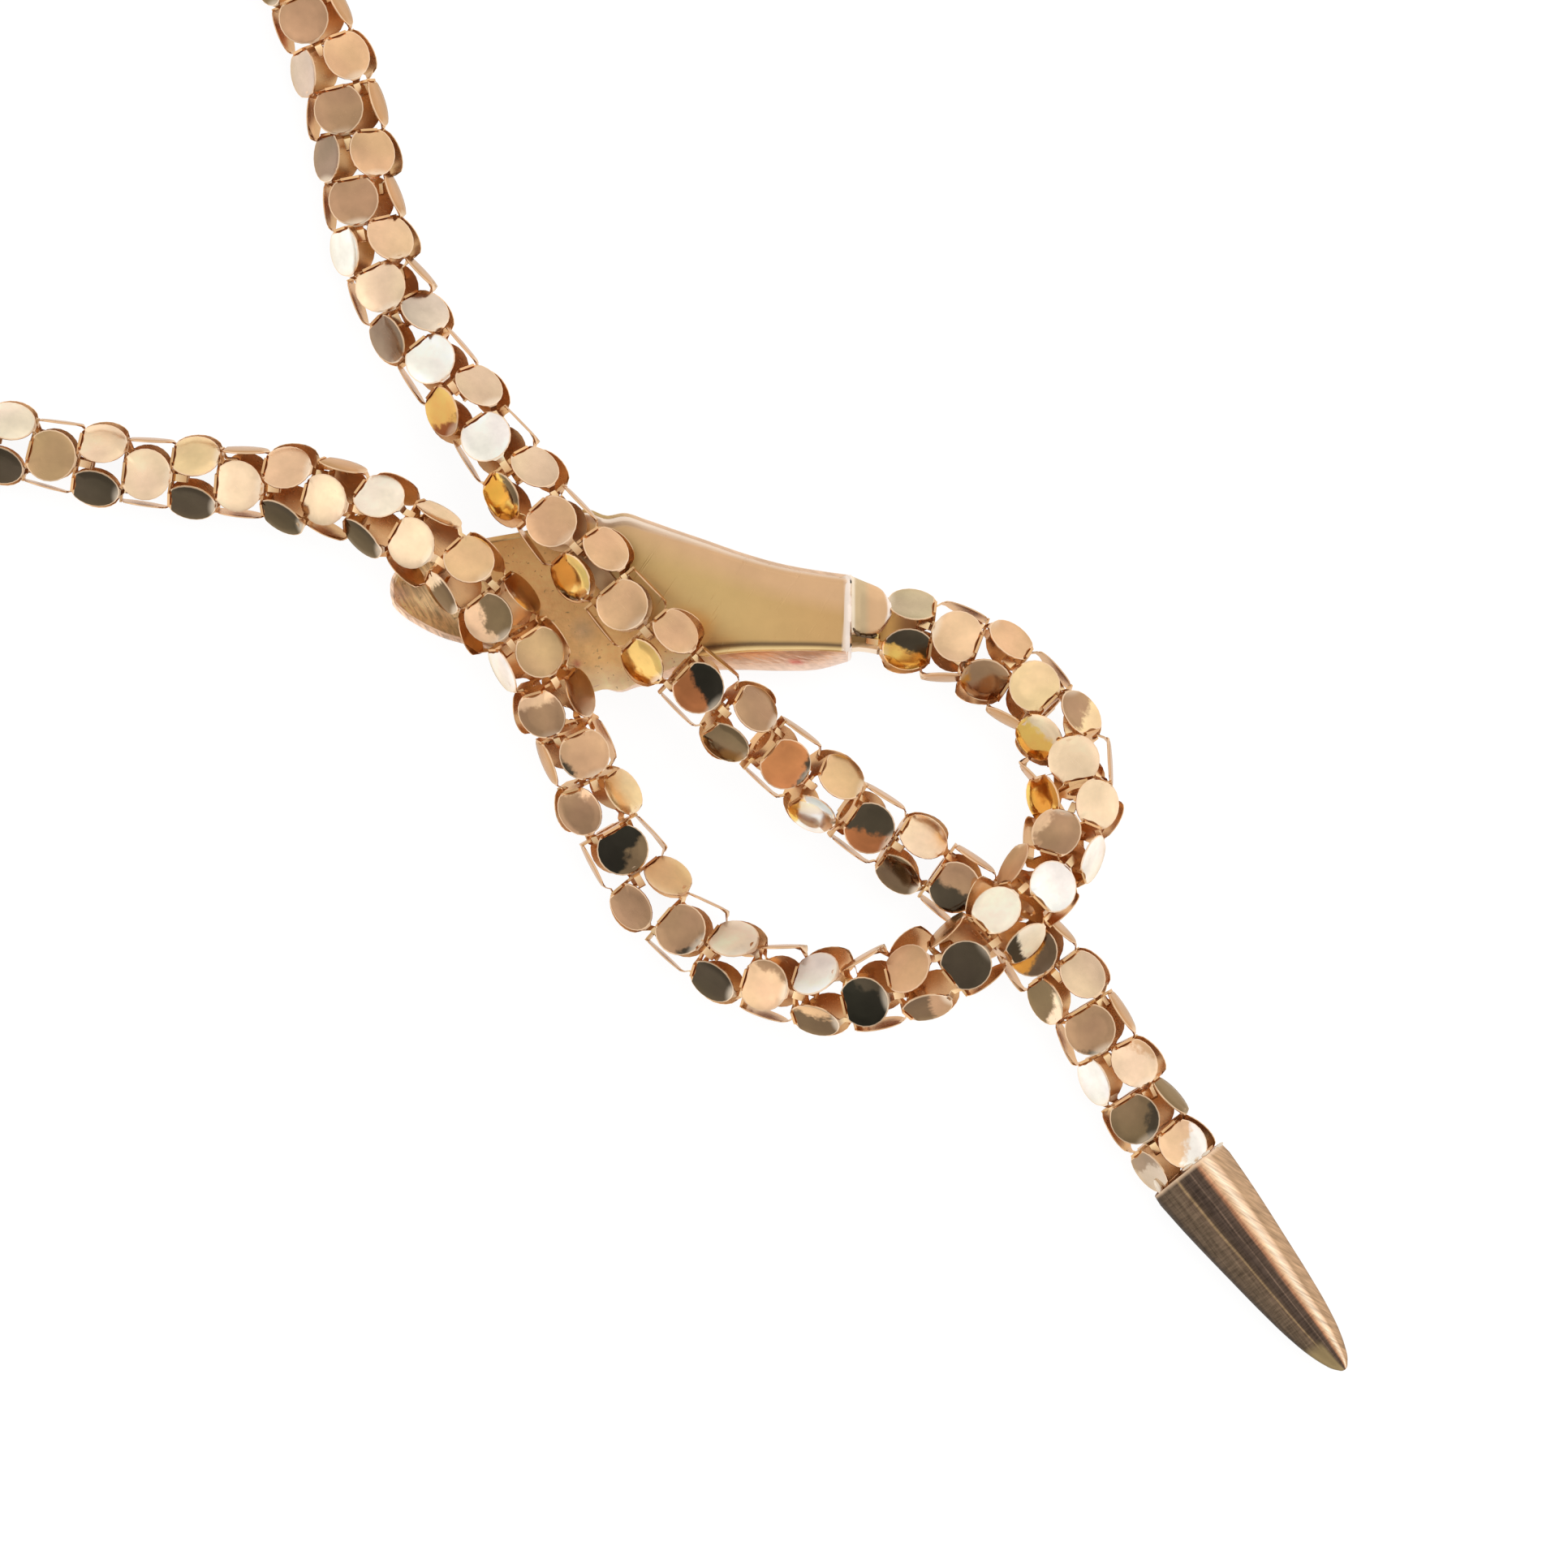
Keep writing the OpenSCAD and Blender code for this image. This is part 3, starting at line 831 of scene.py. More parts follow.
# along the chain's line, and half the width there; the last two turn inside
COLLAR = [(-FOLD - 0.02, 1.9), (-FOLD - 0.1, 2.0), (-FOLD + 0.05, 2.1), (-1.3, 2.05),
          (-0.9, 2.0), (-0.6, 1.98), (-0.2, 1.96), (0.3, 2.04), (0.9, 2.0),
          (0.9, 1.8), (-FOLD - 0.02, 1.8)]
collar = column_of_rings("neck_collar", [collar_ring(*row) for row in COLLAR], False)
tell(collar)

# %% Clasp strip
CLASP_AT, CLASP_TURN, CLASP_LONG = (38.6, -29.6, 4.92), radians(129), 6.0
c, s = cos(CLASP_TURN), sin(CLASP_TURN)
clasp_rings = []
for along in (0.0, 0.1, 5.8, CLASP_LONG):
    w, h = (0.72, 0.11) if 0 < along < CLASP_LONG else (0.6, 0.07)
    outline = [(-w, -h), (0, -h), (w, -h), (w, 0), (w, h), (0, h), (-w, h), (-w, 0)]
    clasp_rings.append([
        (CLASP_AT[0] + along * c - b * s, CLASP_AT[1] + along * s + b * c,
         CLASP_AT[2] + g) for b, g in outline])
clasp = column_of_rings("clasp_strip", clasp_rings, angle=30)
tell(clasp)

# %% Discs of the collar


def collar_disc_point(u, v):
    """The collar's upper disc: flared where it meets the neck, round at its front."""
    x = 55.8 + 3.16 * u - 0.35 * u * abs(2 * v - 1) ** 3
    up = -27.0 - 1.15 * u ** 0.9 - 0.6 * u ** 10
    low = -31.55 - 0.15 * u + 1.1 * u ** 7
    y = low + (up - low) * v
    roll = abs(2 * v - 1) ** 4
    z = (5.93 - 0.25 * min(1, 4 * u) + 0.08 * sin(pi * min(1, u * 1.4))
         - 0.5 * roll - 0.12 * max(0, u - 0.9) / 0.1)
    return Vector((x, y, z))


def collar_leaf_point(u, v):
    """The collar's lower leaf, which runs on inside the first cup."""
    half = 1.66 * (1 - max(0, (u - 0.6) / 0.4) ** 3) ** 0.5 + 0.02
    return Vector((57.6 + 3.6 * u, -30.95 - 0.3 * u + half * (2 * v - 1),
                   1.86 + 0.12 * abs(2 * v - 1) ** 2))


collar_disc = sheet("neck_collar_disc", 24, 24, collar_disc_point, 0.22, 0.06)
collar_leaf = sheet("neck_collar_leaf", 16, 12, collar_leaf_point, 0.12, 0.03)
tell(collar_disc, collar_leaf)

# %% [markdown]
# The tail tip
#
# The tip is a hollow bullet, filed by hand into broad soft facets, so it shows
# long bands of light and dark. Rings with eight soft facets are drawn along its
# line, and at the mouth its wall turns inwards.

# %% Tail tip
TIP_PROFILE = [(0, 3.38), (3.1, 3.2), (8.7, 2.68), (12, 2.33), (14.8, 1.94),
               (16.8, 1.52), (18.1, 1.08), (18.85, 0.72), (19.25, 0.4)]
TIP_AT = np.array([82.03, -73.08, 3.5])
TIP_LENGTH = 19.4
tip_way = unit(np.array([12.2, -15.5, -1.7]))
tip_side = unit(np.cross([0, 0, 1], tip_way))
tip_up = np.cross(tip_way, tip_side)
SIDES = 72
FACET, FACET_TURN = radians(45), radians(8)
TIP_STEPS = 55             # rings from the mouth to the point
FILED = 0.55               # how far a round section is filed towards its facets


def facet(angle):
    """Radius factor of a circle filed into eight soft facets."""
    off = (angle - FACET_TURN) % FACET - FACET / 2
    half = cos(FACET / 2)
    return 1 - FILED + FILED * (half / cos(off) + (1 - half) * 0.5)


def tip_ring(along, radius, soft=0.0, skew=0.0):
    """A ring of the tip. soft rounds its facets, skew pulls its top forward."""
    ring = []
    for i in range(SIDES):
        a = 2 * pi * i / SIDES
        r = radius * (facet(a) * (1 - soft) + soft)
        along_here = along - skew * max(0, sin(a))
        ring.append(tuple(TIP_AT + tip_way * along_here + tip_side * r * cos(a)
                          + tip_up * r * sin(a)))
    return ring


tip_rings = [tip_ring(-0.16, 2.9, 1, 0.5), tip_ring(-0.19, 3.1, 1, 0.5),
             tip_ring(-0.25, 3.28, 0.6, 0.5)]
for i in range(1, TIP_STEPS + 1):
    along = (TIP_LENGTH - 0.1) * (1 - (1 - i / TIP_STEPS) ** 1.6)
    tip_rings.append(tip_ring(along, max(0.2, float(through(TIP_PROFILE, along)[0])),
                              min(1, max(0, (along - 15) / 3))))
tip_rings += [tip_ring(TIP_LENGTH, 0.24, 1), tip_ring(TIP_LENGTH + 0.05, 0.08, 1)]
tail_tip = column_of_rings("tail_tip_bullet", tip_rings, angle=60)
tell(tail_tip)

# %% [markdown]
# Solder
#
# Where the tip and the collar were soldered on, some of the metal ran out and
# set in small beads. Flattened spheres are enough for forms under half a
# millimetre.

# %% Solder at the tip's mouth and under the collar


def solder_beads(name, shape, rows):
    """Beads of run solder, at x, y, z with a size, each turned its own way."""
    beads = []
    for x, y, z, size, way_round in rows:
        nothing_selected()
        bpy.ops.mesh.primitive_uv_sphere_add(
            segments=16, ring_count=10, radius=size * MM,
            location=(x * MM, y * MM, z * MM),
            rotation=(0, 0, radians(way_round)))
        bead = bpy.context.object
        bead.scale = shape
        bpy.ops.object.transform_apply(location=True, rotation=True, scale=True)
        bpy.ops.object.shade_smooth()
        beads.append(bead)
    print(name, len(beads), "beads")
    return join(beads, name)


solder = solder_beads("tail_tip_solder", (1.6, 0.5, 0.3), [
    (84.15, -70.95, 4.9, 0.28, 38), (79.6, -74.2, 4.7, 0.5, -60),
    (81.7, -72.55, 6.45, 0.3, 38), (83.1, -71.5, 6.3, 0.26, 38)])
crumbs = solder_beads("collar_solder", (1.4, 0.6, 0.8), [
    (56.08, -31.2, 5.62, 0.17, -60), (56.3, -31.48, 5.5, 0.22, -35),
    (56.75, -31.68, 5.3, 0.2, -10), (57.2, -31.74, 5.25, 0.21, 0),
    (57.65, -31.66, 5.25, 0.16, 20)])

# %% [markdown]
# Plates of the two ends
#
# The first and last plates belong to the soldered ends. They are made from the
# same pattern as the plates of the cups.

# %% Plates soldered into the collar and the tail tip
ARM_END = 0.28             # half the angle that the end of an arm takes, in radians


def end_plate(name, route, reach):
    """A plate with its hole, whose four arms end at reach."""
    ahead, aside, outward, middle = cup_axes(route, 0)
    rings = []
    for x, r in ((-0.1, BAR - 0.05), (0.1, BAR - 0.05), (0.1, HOLE), (-0.1, HOLE)):
        ring = []
        for i in range(48):
            a = 2 * pi * i / 48
            near = abs((a + pi / 4) % (pi / 2) - pi / 4)
            far = reach if near < ARM_END else r / cos(pi / 4 - near)
            d = r if r == HOLE else far
            ring.append(tuple(middle + ahead * (x - FOLD) + aside * d * cos(a)
                              + outward * d * sin(a)))
        rings.append(ring)
    return column_of_rings(name, rings + rings[:1], False, 30)


collar_plate = end_plate("collar_plate", HEAD_ROUTE, 2.2)
tip_plate = end_plate("tail_tip_plate", TAIL_ROUTE, 3.0)
tell(collar_plate, tip_plate)

# %% [markdown]
# Metal
#
# Every surface is gold, but worn in different ways. Shader maths is written as
# plain expressions: a small class wraps a node's output and adds the maths node
# for each operator. A second class writes any other node from its type, its
# settings and the values of its sockets.

# %% Sums and products of node outputs


def rgba(value):
    return value if isinstance(value, Wire) or len(value) == 4 else (*value, 1.0)


def operator(operation, reflected=False):
    """A method that joins a wire and another value in a Math node."""
    def joined(self, other):
        first, second = (other, self) if reflected else (self, other)
        return self.tree.add("Math", {"operation": operation}, {0: first, 1: second})
    return joined


class Wire:
    """One output of a node, for use in sums and products."""

    def __init__(self, tree, socket):
        self.tree, self.socket = tree, socket

    __add__, __radd__ = operator("ADD"), operator("ADD", True)
    __sub__, __rsub__ = operator("SUBTRACT"), operator("SUBTRACT", True)
    __mul__, __rmul__ = operator("MULTIPLY"), operator("MULTIPLY", True)

    def ramp(self, low, high):
        """0 below low, 1 above high, smooth between."""
        return self.tree.add("MapRange", {"interpolation_type": "SMOOTHSTEP"},
                             {0: self, 1: low, 2: high, 3: 0.0, 4: 1.0})


# %% A tree written node by node


class Tree:
    """A node tree that is written node by node."""

    def __init__(self, node_tree):
        self.nodes, self.links = node_tree.nodes, node_tree.links
        self.nodes.clear()

    def add(self, kind, settings=None, values=None, out=0):
        """Adds a node, sets it, fills its sockets, and gives one output."""
        node = self.nodes.new("ShaderNode" + kind)
        for key, value in (settings or {}).items():
            setattr(node, key, value)
        for key, value in (values or {}).items():
            if isinstance(value, Wire):
                self.links.new(value.socket, node.inputs[key])
            else:
                node.inputs[key].default_value = value
        return Wire(self, node.outputs[out]) if len(node.outputs) else None

    def mix(self, factor, first, second):
        """Colour between first and second."""
        return self.add("Mix", {"data_type": "RGBA"},
                        {0: factor, 6: rgba(first), 7: rgba(second)}, out=2)

    def apart(self, vector):
        """The three numbers of a vector."""
        split = self.add("SeparateXYZ", None, {0: vector})
        return [Wire(self, split.socket.node.outputs[i]) for i in range(3)]

    def scale_colour(self, colour, factor):
        """Colour times a number, or times another colour."""
        if isinstance(factor, Wire):
            factor = self.add("CombineXYZ", None, {0: factor, 1: factor, 2: factor})
        return self.add("Mix", {"data_type": "RGBA", "blend_type": "MULTIPLY"},
                        {0: 1.0, 6: colour, 7: factor}, out=2)

    def ramp(self, factor, stops):
        """A colour ramp with its stops given as (place, colour)."""
        result = self.add("ValToRGB", None, {0: factor})
        elements = result.socket.node.color_ramp.elements
        elements[0].position, elements[0].color = stops[0][0], rgba(stops[0][1])
        elements[1].position, elements[1].color = stops[-1][0], rgba(stops[-1][1])
        for position, colour in stops[1:-1]:
            elements.new(position).color = rgba(colour)
        return result

    def attribute(self, name, out=0):
        """The colour of a piece's own attribute; 1 is its vector, 3 its alpha."""
        return self.add("Attribute", {"attribute_name": name}, out=out)

    def place(self, scale=(1, 1, 1), turn=0.0):
        """Object coordinates turned about Z, then stretched by scale.

        A small scale along Y draws noise out into strokes; turn leans them."""
        where = self.add("TexCoord", out=3)
        return self.add("Mapping", {"vector_type": "TEXTURE"},
                        {0: where, 2: (0, 0, turn), 3: [1 / s for s in scale]})

    def noise(self, where, scale, detail):
        return self.add("TexNoise", None, {"Vector": where, "Scale": scale,
                                           "Detail": detail, "Roughness": 0.6})

    def strokes(self, size, detail, narrow, turn, height=1):
        """Noise drawn out into strokes."""
        return self.noise(self.place((1, narrow, height), turn), size, detail)

    def drift(self, where, scale, amount, detail=2.0):
        """A factor near 1 that drifts by amount over the surface."""
        return (self.noise(where, scale, detail) - 0.5) * (2 * amount) + 1


print("node helpers:", [name for name in vars(Tree) if name[0] != "_"])

# %% One bare metal


def gold(name, colour, roughness, bump, bump_depth, metal=1.0, edge=(1, 1, 1)):
    """A metal whose colour, roughness and bump are worked out on its tree.

    edge tints what it mirrors at a low angle."""
    material = bpy.data.materials.new(name)
    material.use_nodes = True
    tree = Tree(material.node_tree)
    normal = tree.add("Bump", None, {"Strength": 1.0, "Distance": bump_depth,
                                     "Height": bump(tree)})
    shader = tree.add("BsdfPrincipled", None, {
        "Metallic": metal, "Base Color": rgba(colour(tree)), "Normal": normal,
        "Roughness": roughness(tree), "Specular Tint": rgba(edge)})
    tree.add("OutputMaterial", None, {0: shader})
    return material


# %% [markdown]
# Gold of the cups
#
# The two shades of a disc come from its attributes, and both are painted
# reflections. A wavering line parts them, as the edge of a mirrored card does
# on a hand-polished disc. A slow drift of brightness paints shading across the
# discs, painted highlights run along each rim and where a disc rolls into its
# tongue, and a painted shadow lies in the strip at the fold. Fine scratches and
# a cloudy film change the roughness, and a few pits are pressed in.

# %% Cup gold
# a painted highlight near the tongue, and a painted shadow for the fold
GLINT, FOLD_SHADOW = (1.0, 0.84, 0.66), (0.36, 0.17, 0.07)


def cup_colour(tree):
    px, py, face = tree.apart(tree.attribute("place", 1))
    sx, sy, start = tree.apart(tree.attribute("split", 1))
    here = tree.place()
    wander = ((tree.noise(here, 700, 2) - 0.5) * 0.9
              + (tree.noise(here, 3000, 3) - 0.5) * 0.4)
    # the wavering line where a disc's two painted reflections meet
    side = px * sx + py * sy + wander - start
    shade = tree.mix(side.ramp(-0.14, 0.14), tree.attribute("tone"),
                     tree.attribute("tone_two"))
    # a slow drift of brightness across the discs: painted shading
    film_and_shading = tree.drift(here, 260, 0.38, 1) * tree.drift(here, 1400, 0.1)
    shade = tree.scale_colour(shade, film_and_shading)
    shade = tree.mix(tree.noise(here, 240, 1).ramp(0.32, 0.68),
                     tree.scale_colour(shade, (1.0, 1.0, 0.95, 1)),
                     tree.scale_colour(shade, (1.01, 0.965, 0.965, 1)))
    # a painted highlight along the rim of each disc's face
    upper = (face + 1).ramp(0.2, 0.8)
    shade = tree.mix((1 - face.ramp(0.45, 0.9)) * upper * 0.75, shade, RIM_HIGHLIGHT)
    front = (px - py * py * 0.3).ramp(0.66, 0.98)
    glint = front * upper * tree.noise(here, 110, 1).ramp(0.4, 0.6)
    shade = tree.mix(glint * 0.6, shade, GLINT)
    # a painted shadow in the strip next to the fold
    fold = 1 - (px + py * py * 0.8 + 0.75).ramp(-0.015, 0.02)
    return tree.mix(fold, shade, FOLD_SHADOW)


def cup_roughness(tree):
    film_and_shading = tree.noise(tree.place(), 600, 4) * 0.12
    scratch = tree.strokes(9000, 2, 0.06, 0.7).ramp(0.6, 0.75) * 0.08
    return film_and_shading + scratch + tree.attribute("tone", 3) * 0.3 + 0.06


def cup_bump(tree):
    scratch = tree.strokes(7000, 2, 0.05, 0.9) * 0.03
    waves = tree.noise(tree.place(), 420, 1) * 1.6
    pits = tree.add("TexVoronoi", None, {"Vector": tree.place(), "Scale": 260.0})
    return scratch + waves + pits.ramp(0.035, 0.06) * 0.5


cup_gold = gold("cup_gold", cup_colour, cup_roughness, cup_bump, 0.00003,
                edge=(0.92, 0.78, 0.62))
print("cup gold:", len(cup_gold.node_tree.nodes), "nodes")

# %% [markdown]
# Gold of the head
#
# The polished back sheet is greenish in the middle and pink along its edges,
# where the heat of soldering drew the colour. Its rolled upper edge, its lower
# lip and its bend at the neck carry painted highlights, and the groove inside
# the lip a painted shade. The sandy lining is stained, and one dark spot above
# the snout is painted shade. The snout was scraped with a round tool, which
# left strokes across the hollow. Broad tints are painted on the points of each
# sheet, and fine ones are noise.

# %% Broad tints painted on the points of a piece


def blend(first, second, share):
    """Tint between first and second; a share outside 0 to 1 is cut off."""
    share = min(1.0, max(0.0, share))
    return [a * (1 - share) + b * share for a, b in zip(first, second)]


def painted(obj, tint):
    """Gives each point its tint: one colour, or tint(x, y) in millimetres."""
    layer = obj.data.attributes.new("tone", "FLOAT_COLOR", "POINT")
    for v, cell in zip(obj.data.vertices, layer.data):
        here = tint(v.co.x / MM, v.co.y / MM) if callable(tint) else tint
        cell.color = (*here, 1.0)


def across_head(x, y):
    """How far a point lies from both edges, and its share of the way across."""
    low, up = head_section(min(max(x, SNOUT), NECK))[:2]
    return y - low, up - y, (y - low) / (up - low)


OLIVE_GOLD, PINK_GOLD = (0.67, 0.45, 0.19), (0.74, 0.46, 0.25)
# the pale tints are painted highlights on edges, lips and rims, and the dark one is
# painted shade in the groove inside the lower lip
WARM_GOLD, PALE_HIGHLIGHT = (0.63, 0.385, 0.165), (1.0, 0.86, 0.76)
ROLLED_EDGE_HIGHLIGHT, GROOVE_SHADE, LIP_HIGHLIGHT = (0.90, 0.76, 0.64), (0.13, 0.085, 0.05), (0.95, 0.72, 0.36)


def back_plate_tint(x, y):
    v = across_head(x, y)[2]
    tint = blend(OLIVE_GOLD, WARM_GOLD, (x - 46) / 8)
    tint = blend(tint, PINK_GOLD, (v - 0.62 + 0.02 * (x - 46)) / 0.22)
    # a pale band along the rolled upper edge: painted highlight
    tint = blend(tint, ROLLED_EDGE_HIGHLIGHT, (v - 0.92) / 0.06)
    if x > 42:
        # a dark band in the groove inside the lower lip, painted shade, then the lip
        # itself in painted highlight
        tint = blend(tint, GROOVE_SHADE, 1 - abs(v - 0.075) / 0.045)
        tint = blend(tint, LIP_HIGHLIGHT, 1 - abs(v - 0.02) / 0.035)
    # a pale line where the sheet bends down at the neck: painted highlight
    return blend(tint, PALE_HIGHLIGHT, (x - neck_edge(min(1, max(0, v))) + 0.52) / 0.22)


def neck_tint(x, y):
    # the rim at the end of the neck in painted highlight
    return blend(WARM_GOLD, PALE_HIGHLIGHT, (x - 55.3) / 0.2)


painted(back_plate, back_plate_tint)
painted(neck_end, neck_tint)
print("back plate painted")

# %% Stained lining and brushed cheek
# spots on the lining: stains, but for the dark one above the snout at 22.3, -27.6, which
# is painted shade
STAINS_AND_SHADE = [  # x, y, size, tint
    (34.7, -33.8, 0.45, (0.70, 0.20, 0.12)), (33.2, -32.6, 0.5, (0.45, 0.27, 0.14)),
    (31.6, -29.9, 0.6, (0.60, 0.36, 0.15)), (34.0, -27.4, 0.8, (0.80, 0.50, 0.23)),
    (35.2, -31.2, 1.3, (0.80, 0.53, 0.27)), (20.9, -28.4, 1.0, (1.0, 0.72, 0.53)),
    (22.3, -27.6, 1.4, (0.36, 0.23, 0.12)), (24.6, -29.2, 1.2, (0.72, 0.46, 0.24)),
    (25.3, -31.3, 1.0, (0.72, 0.56, 0.31)), (26.6, -31.9, 0.8, (1.0, 0.68, 0.34))]


def lining_tint(x, y):
    from_low, from_up, v = across_head(x, y)
    tint = blend((1.0, 0.62, 0.24), (1.0, 0.61, 0.26), 1.2 - 0.9 * v - 0.05 * (x - 28))
    tint = blend(tint, (1.0, 0.76, 0.45), (0.16 - v) / 0.12)
    # the snout: pink at its left, dark above in painted shade, olive below and bright at
    # the jaws
    tint = blend((0.93, 0.67, 0.36), tint, (x - 27.3) / 1.2)
    for sx, sy, size, stain in STAINS_AND_SHADE:
        tint = blend(tint, stain, 1.1 * (1 - hypot(x - sx, y - sy) / size))
    if x < 28:
        in_from_rim = min(from_low, from_up, 1.1 * (x - SNOUT))
        tint = blend(tint, (0.88, 0.62, 0.45), (0.46 - in_from_rim) / 0.12)
    return tint


def pressing_tint(x, y):
    """Pink along the brushed cheek, with one red fleck, and brown at the jaws."""
    if x > 40 and across_head(x, y)[0] < 0.7:
        tint = blend((0.74, 0.48, 0.32), (0.86, 0.62, 0.48), (x - 46) / 6)
        fleck = 1 - hypot((x - 51.6) / 0.8, (y + 33.7) / 0.25)
        return blend(tint, (0.75, 0.12, 0.10), fleck)
    return blend((0.80, 0.55, 0.38), (0.60, 0.41, 0.19),
                 min((40 - x) / 3, (y + 27.5) / 0.5))


painted(lining, lining_tint)
painted(head_shell, pressing_tint)
print("lining and pressing painted,", len(STAINS_AND_SHADE), "stains")

# %% Collar and the small soldered pieces


def collar_disc_tint(x, y):
    # painted highlights where the disc flares into the neck and along its right rim
    tint = blend((0.95, 0.80, 0.62), (0.66, 0.49, 0.29), (x - 56.05) / 0.15)
    tint = blend(tint, (0.79, 0.50, 0.28), (x - 56.85) / 0.5)
    return blend(tint, PALE_HIGHLIGHT, (x + 0.35 * abs(y + 29.6) ** 1.5 / 2 - 58.6) / 0.12)


def collar_tint(x, y):
    """Amber behind, almost black before the golden post, with a painted highlight on the
    lower wall.
    """
    tint = blend((0.30, 0.19, 0.08), (0.05, 0.035, 0.02), (x - 56.95) / 0.2)
    tint = blend(tint, (1.0, 0.72, 0.28), (x - 57.7) / 0.15)
    return blend(tint, (0.95, 0.72, 0.48), (-32.3 - y) / 0.15)


def leaf_tint(x, y):
    # bright at its left, painted light against the shade of the cups over it, and darker
    # towards the right
    return blend((0.95, 0.56, 0.19), (0.50, 0.26, 0.11), (x - 58.8) / 1.2)


for piece, tint in ((collar_disc, collar_disc_tint), (collar, collar_tint),
                    (collar_leaf, leaf_tint), (crumbs, (0.16, 0.11, 0.07)),
                    (clasp, (0.55, 0.36, 0.2)), (solder, (0.86, 0.74, 0.60)),
                    (collar_plate, (0.45, 0.26, 0.12)), (tip_plate, (0.82, 0.58, 0.42))):
    painted(piece, tint)
print("small pieces painted")

# %% Head gold


def tint_colour(tree, depth=0.12, grain_scale=900, grain=0.06):
    here = tree.place()
    return tree.scale_colour(tree.attribute("tone"), tree.drift(here, 130, depth, 3)
                             * tree.drift(here, grain_scale, grain, 4))


def plate_roughness(tree):
    return tree.noise(tree.place((0.3, 1, 1), 0.5), 2500, 3) * 0.14 + 0.24


def plate_bump(tree):
    scratch = tree.strokes(3800, 2, 0.03, -0.6).ramp(0.62, 0.72)
    return scratch * 0.3 + tree.noise(tree.place(), 230, 2) * 0.9


plate_gold = gold("back_plate_gold", tint_colour, plate_roughness, plate_bump, 0.00004)
print("plate gold:", len(plate_gold.node_tree.nodes), "nodes")

# %% Gold of the lining


def lining_colour(tree):
    tone = tint_colour(tree, 0.42, 1500, 0.24)
    snout = 1 - tree.apart(tree.add("TexCoord", out=3))[0].ramp(0.0272, 0.0282)
    stroke = tree.strokes(4600, 3, 0.1, 0.55, 0.2)
    tone = tree.scale_colour(tone, (stroke - 0.5) * 2.2 * snout + 1)
    speck = tree.noise(tree.place(), 2600, 2)
    return tree.mix(speck.ramp(0.63, 0.74) * 0.65, tone, (0.24, 0.13, 0.06))


def lining_roughness(tree):
    return tree.noise(tree.place(), 900, 4) * 0.2 + 0.42


def lining_bump(tree):
    return tree.noise(tree.place(), 700, 5)


lining_gold = gold("lining_gold", lining_colour, lining_roughness, lining_bump,
                   0.0001, 0.4)
print("lining gold:", len(lining_gold.node_tree.nodes), "nodes")

# %% Gold of the pressing, brushed along the cheek
BRUSHED = 1.05             # turn of the brush marks


def pressing_colour(tree):
    return tree.scale_colour(tint_colour(tree, 0.08, 800, 0.05),
                             tree.strokes(3600, 3, 0.07, BRUSHED) * 0.7 + 0.65)


def pressing_roughness(tree):
    return tree.strokes(3000, 3, 0.08, BRUSHED) * 0.25 + 0.2


def pressing_bump(tree):
    return tree.strokes(3400, 3, 0.06, BRUSHED) * 0.9


pressing_gold = gold("pressing_gold", pressing_colour, pressing_roughness,
                     pressing_bump, 0.00005)
print("pressing gold:", len(pressing_gold.node_tree.nodes), "nodes")

# %% [markdown]
# Gold of the tail tip
#
# One flank of the tip was filed lengthwise and rubbed crosswise, the other was
# rubbed on a slant. Its facets mirror the tent in bands. A ramp across the tip
# gives the bands their shades, and stretched noise gives the file marks.

# %% Where on the tip each point lies
MOUTH_RADIUS, FLOOR_SHARE = 3.3, 0.93
across_tip = tail_tip.data.attributes.new("across", "FLOAT_VECTOR", "POINT")
for v, cell in zip(tail_tip.data.vertices, across_tip.data):
    away = np.array(v.co) / MM - TIP_AT
    run, side, up = (float(away @ way) for way in (tip_way, tip_side, tip_up))
    reach = hypot(side, up)
    skewed = run + 0.5 * max(0.0, up) / MOUTH_RADIUS * min(1, max(0, 1 - run))
    outer = float(through(TIP_PROFILE, min(19, max(0, run)))[0])
    on_floor = run < 7 and reach < FLOOR_SHARE * outer
    cell.vector = (side / max(reach, 0.01), skewed / TIP_LENGTH, float(on_floor))
print("tip's own coordinates kept as", across_tip.name)

# %% Tail tip gold
BANDS = [  # place across the tip, shade
    (0.0, (0.11, 0.075, 0.05)), (0.1, (0.15, 0.105, 0.07)),
    (0.22, (0.21, 0.145, 0.095)), (0.295, (0.18, 0.12, 0.08)),
    (0.32, (0.42, 0.28, 0.15)), (0.345, (0.12, 0.08, 0.055)),
    (0.42, (0.085, 0.058, 0.044)), (0.475, (0.10, 0.068, 0.05)),
    (0.49, (0.21, 0.14, 0.10)), (0.505, (0.10, 0.068, 0.05)),
    (0.58, (0.12, 0.078, 0.056)), (0.625, (0.5, 0.24, 0.13)),
    (0.675, (0.82, 0.54, 0.33)), (0.73, (1.0, 0.80, 0.60)),
    (0.785, (0.92, 0.63, 0.42)), (0.825, (0.52, 0.33, 0.19)),
    (1.0, (0.62, 0.40, 0.24))]
LENGTHWISE, CROSSWISE, SLANTED = 0.667, -0.91, 1.0     # turns of the file marks


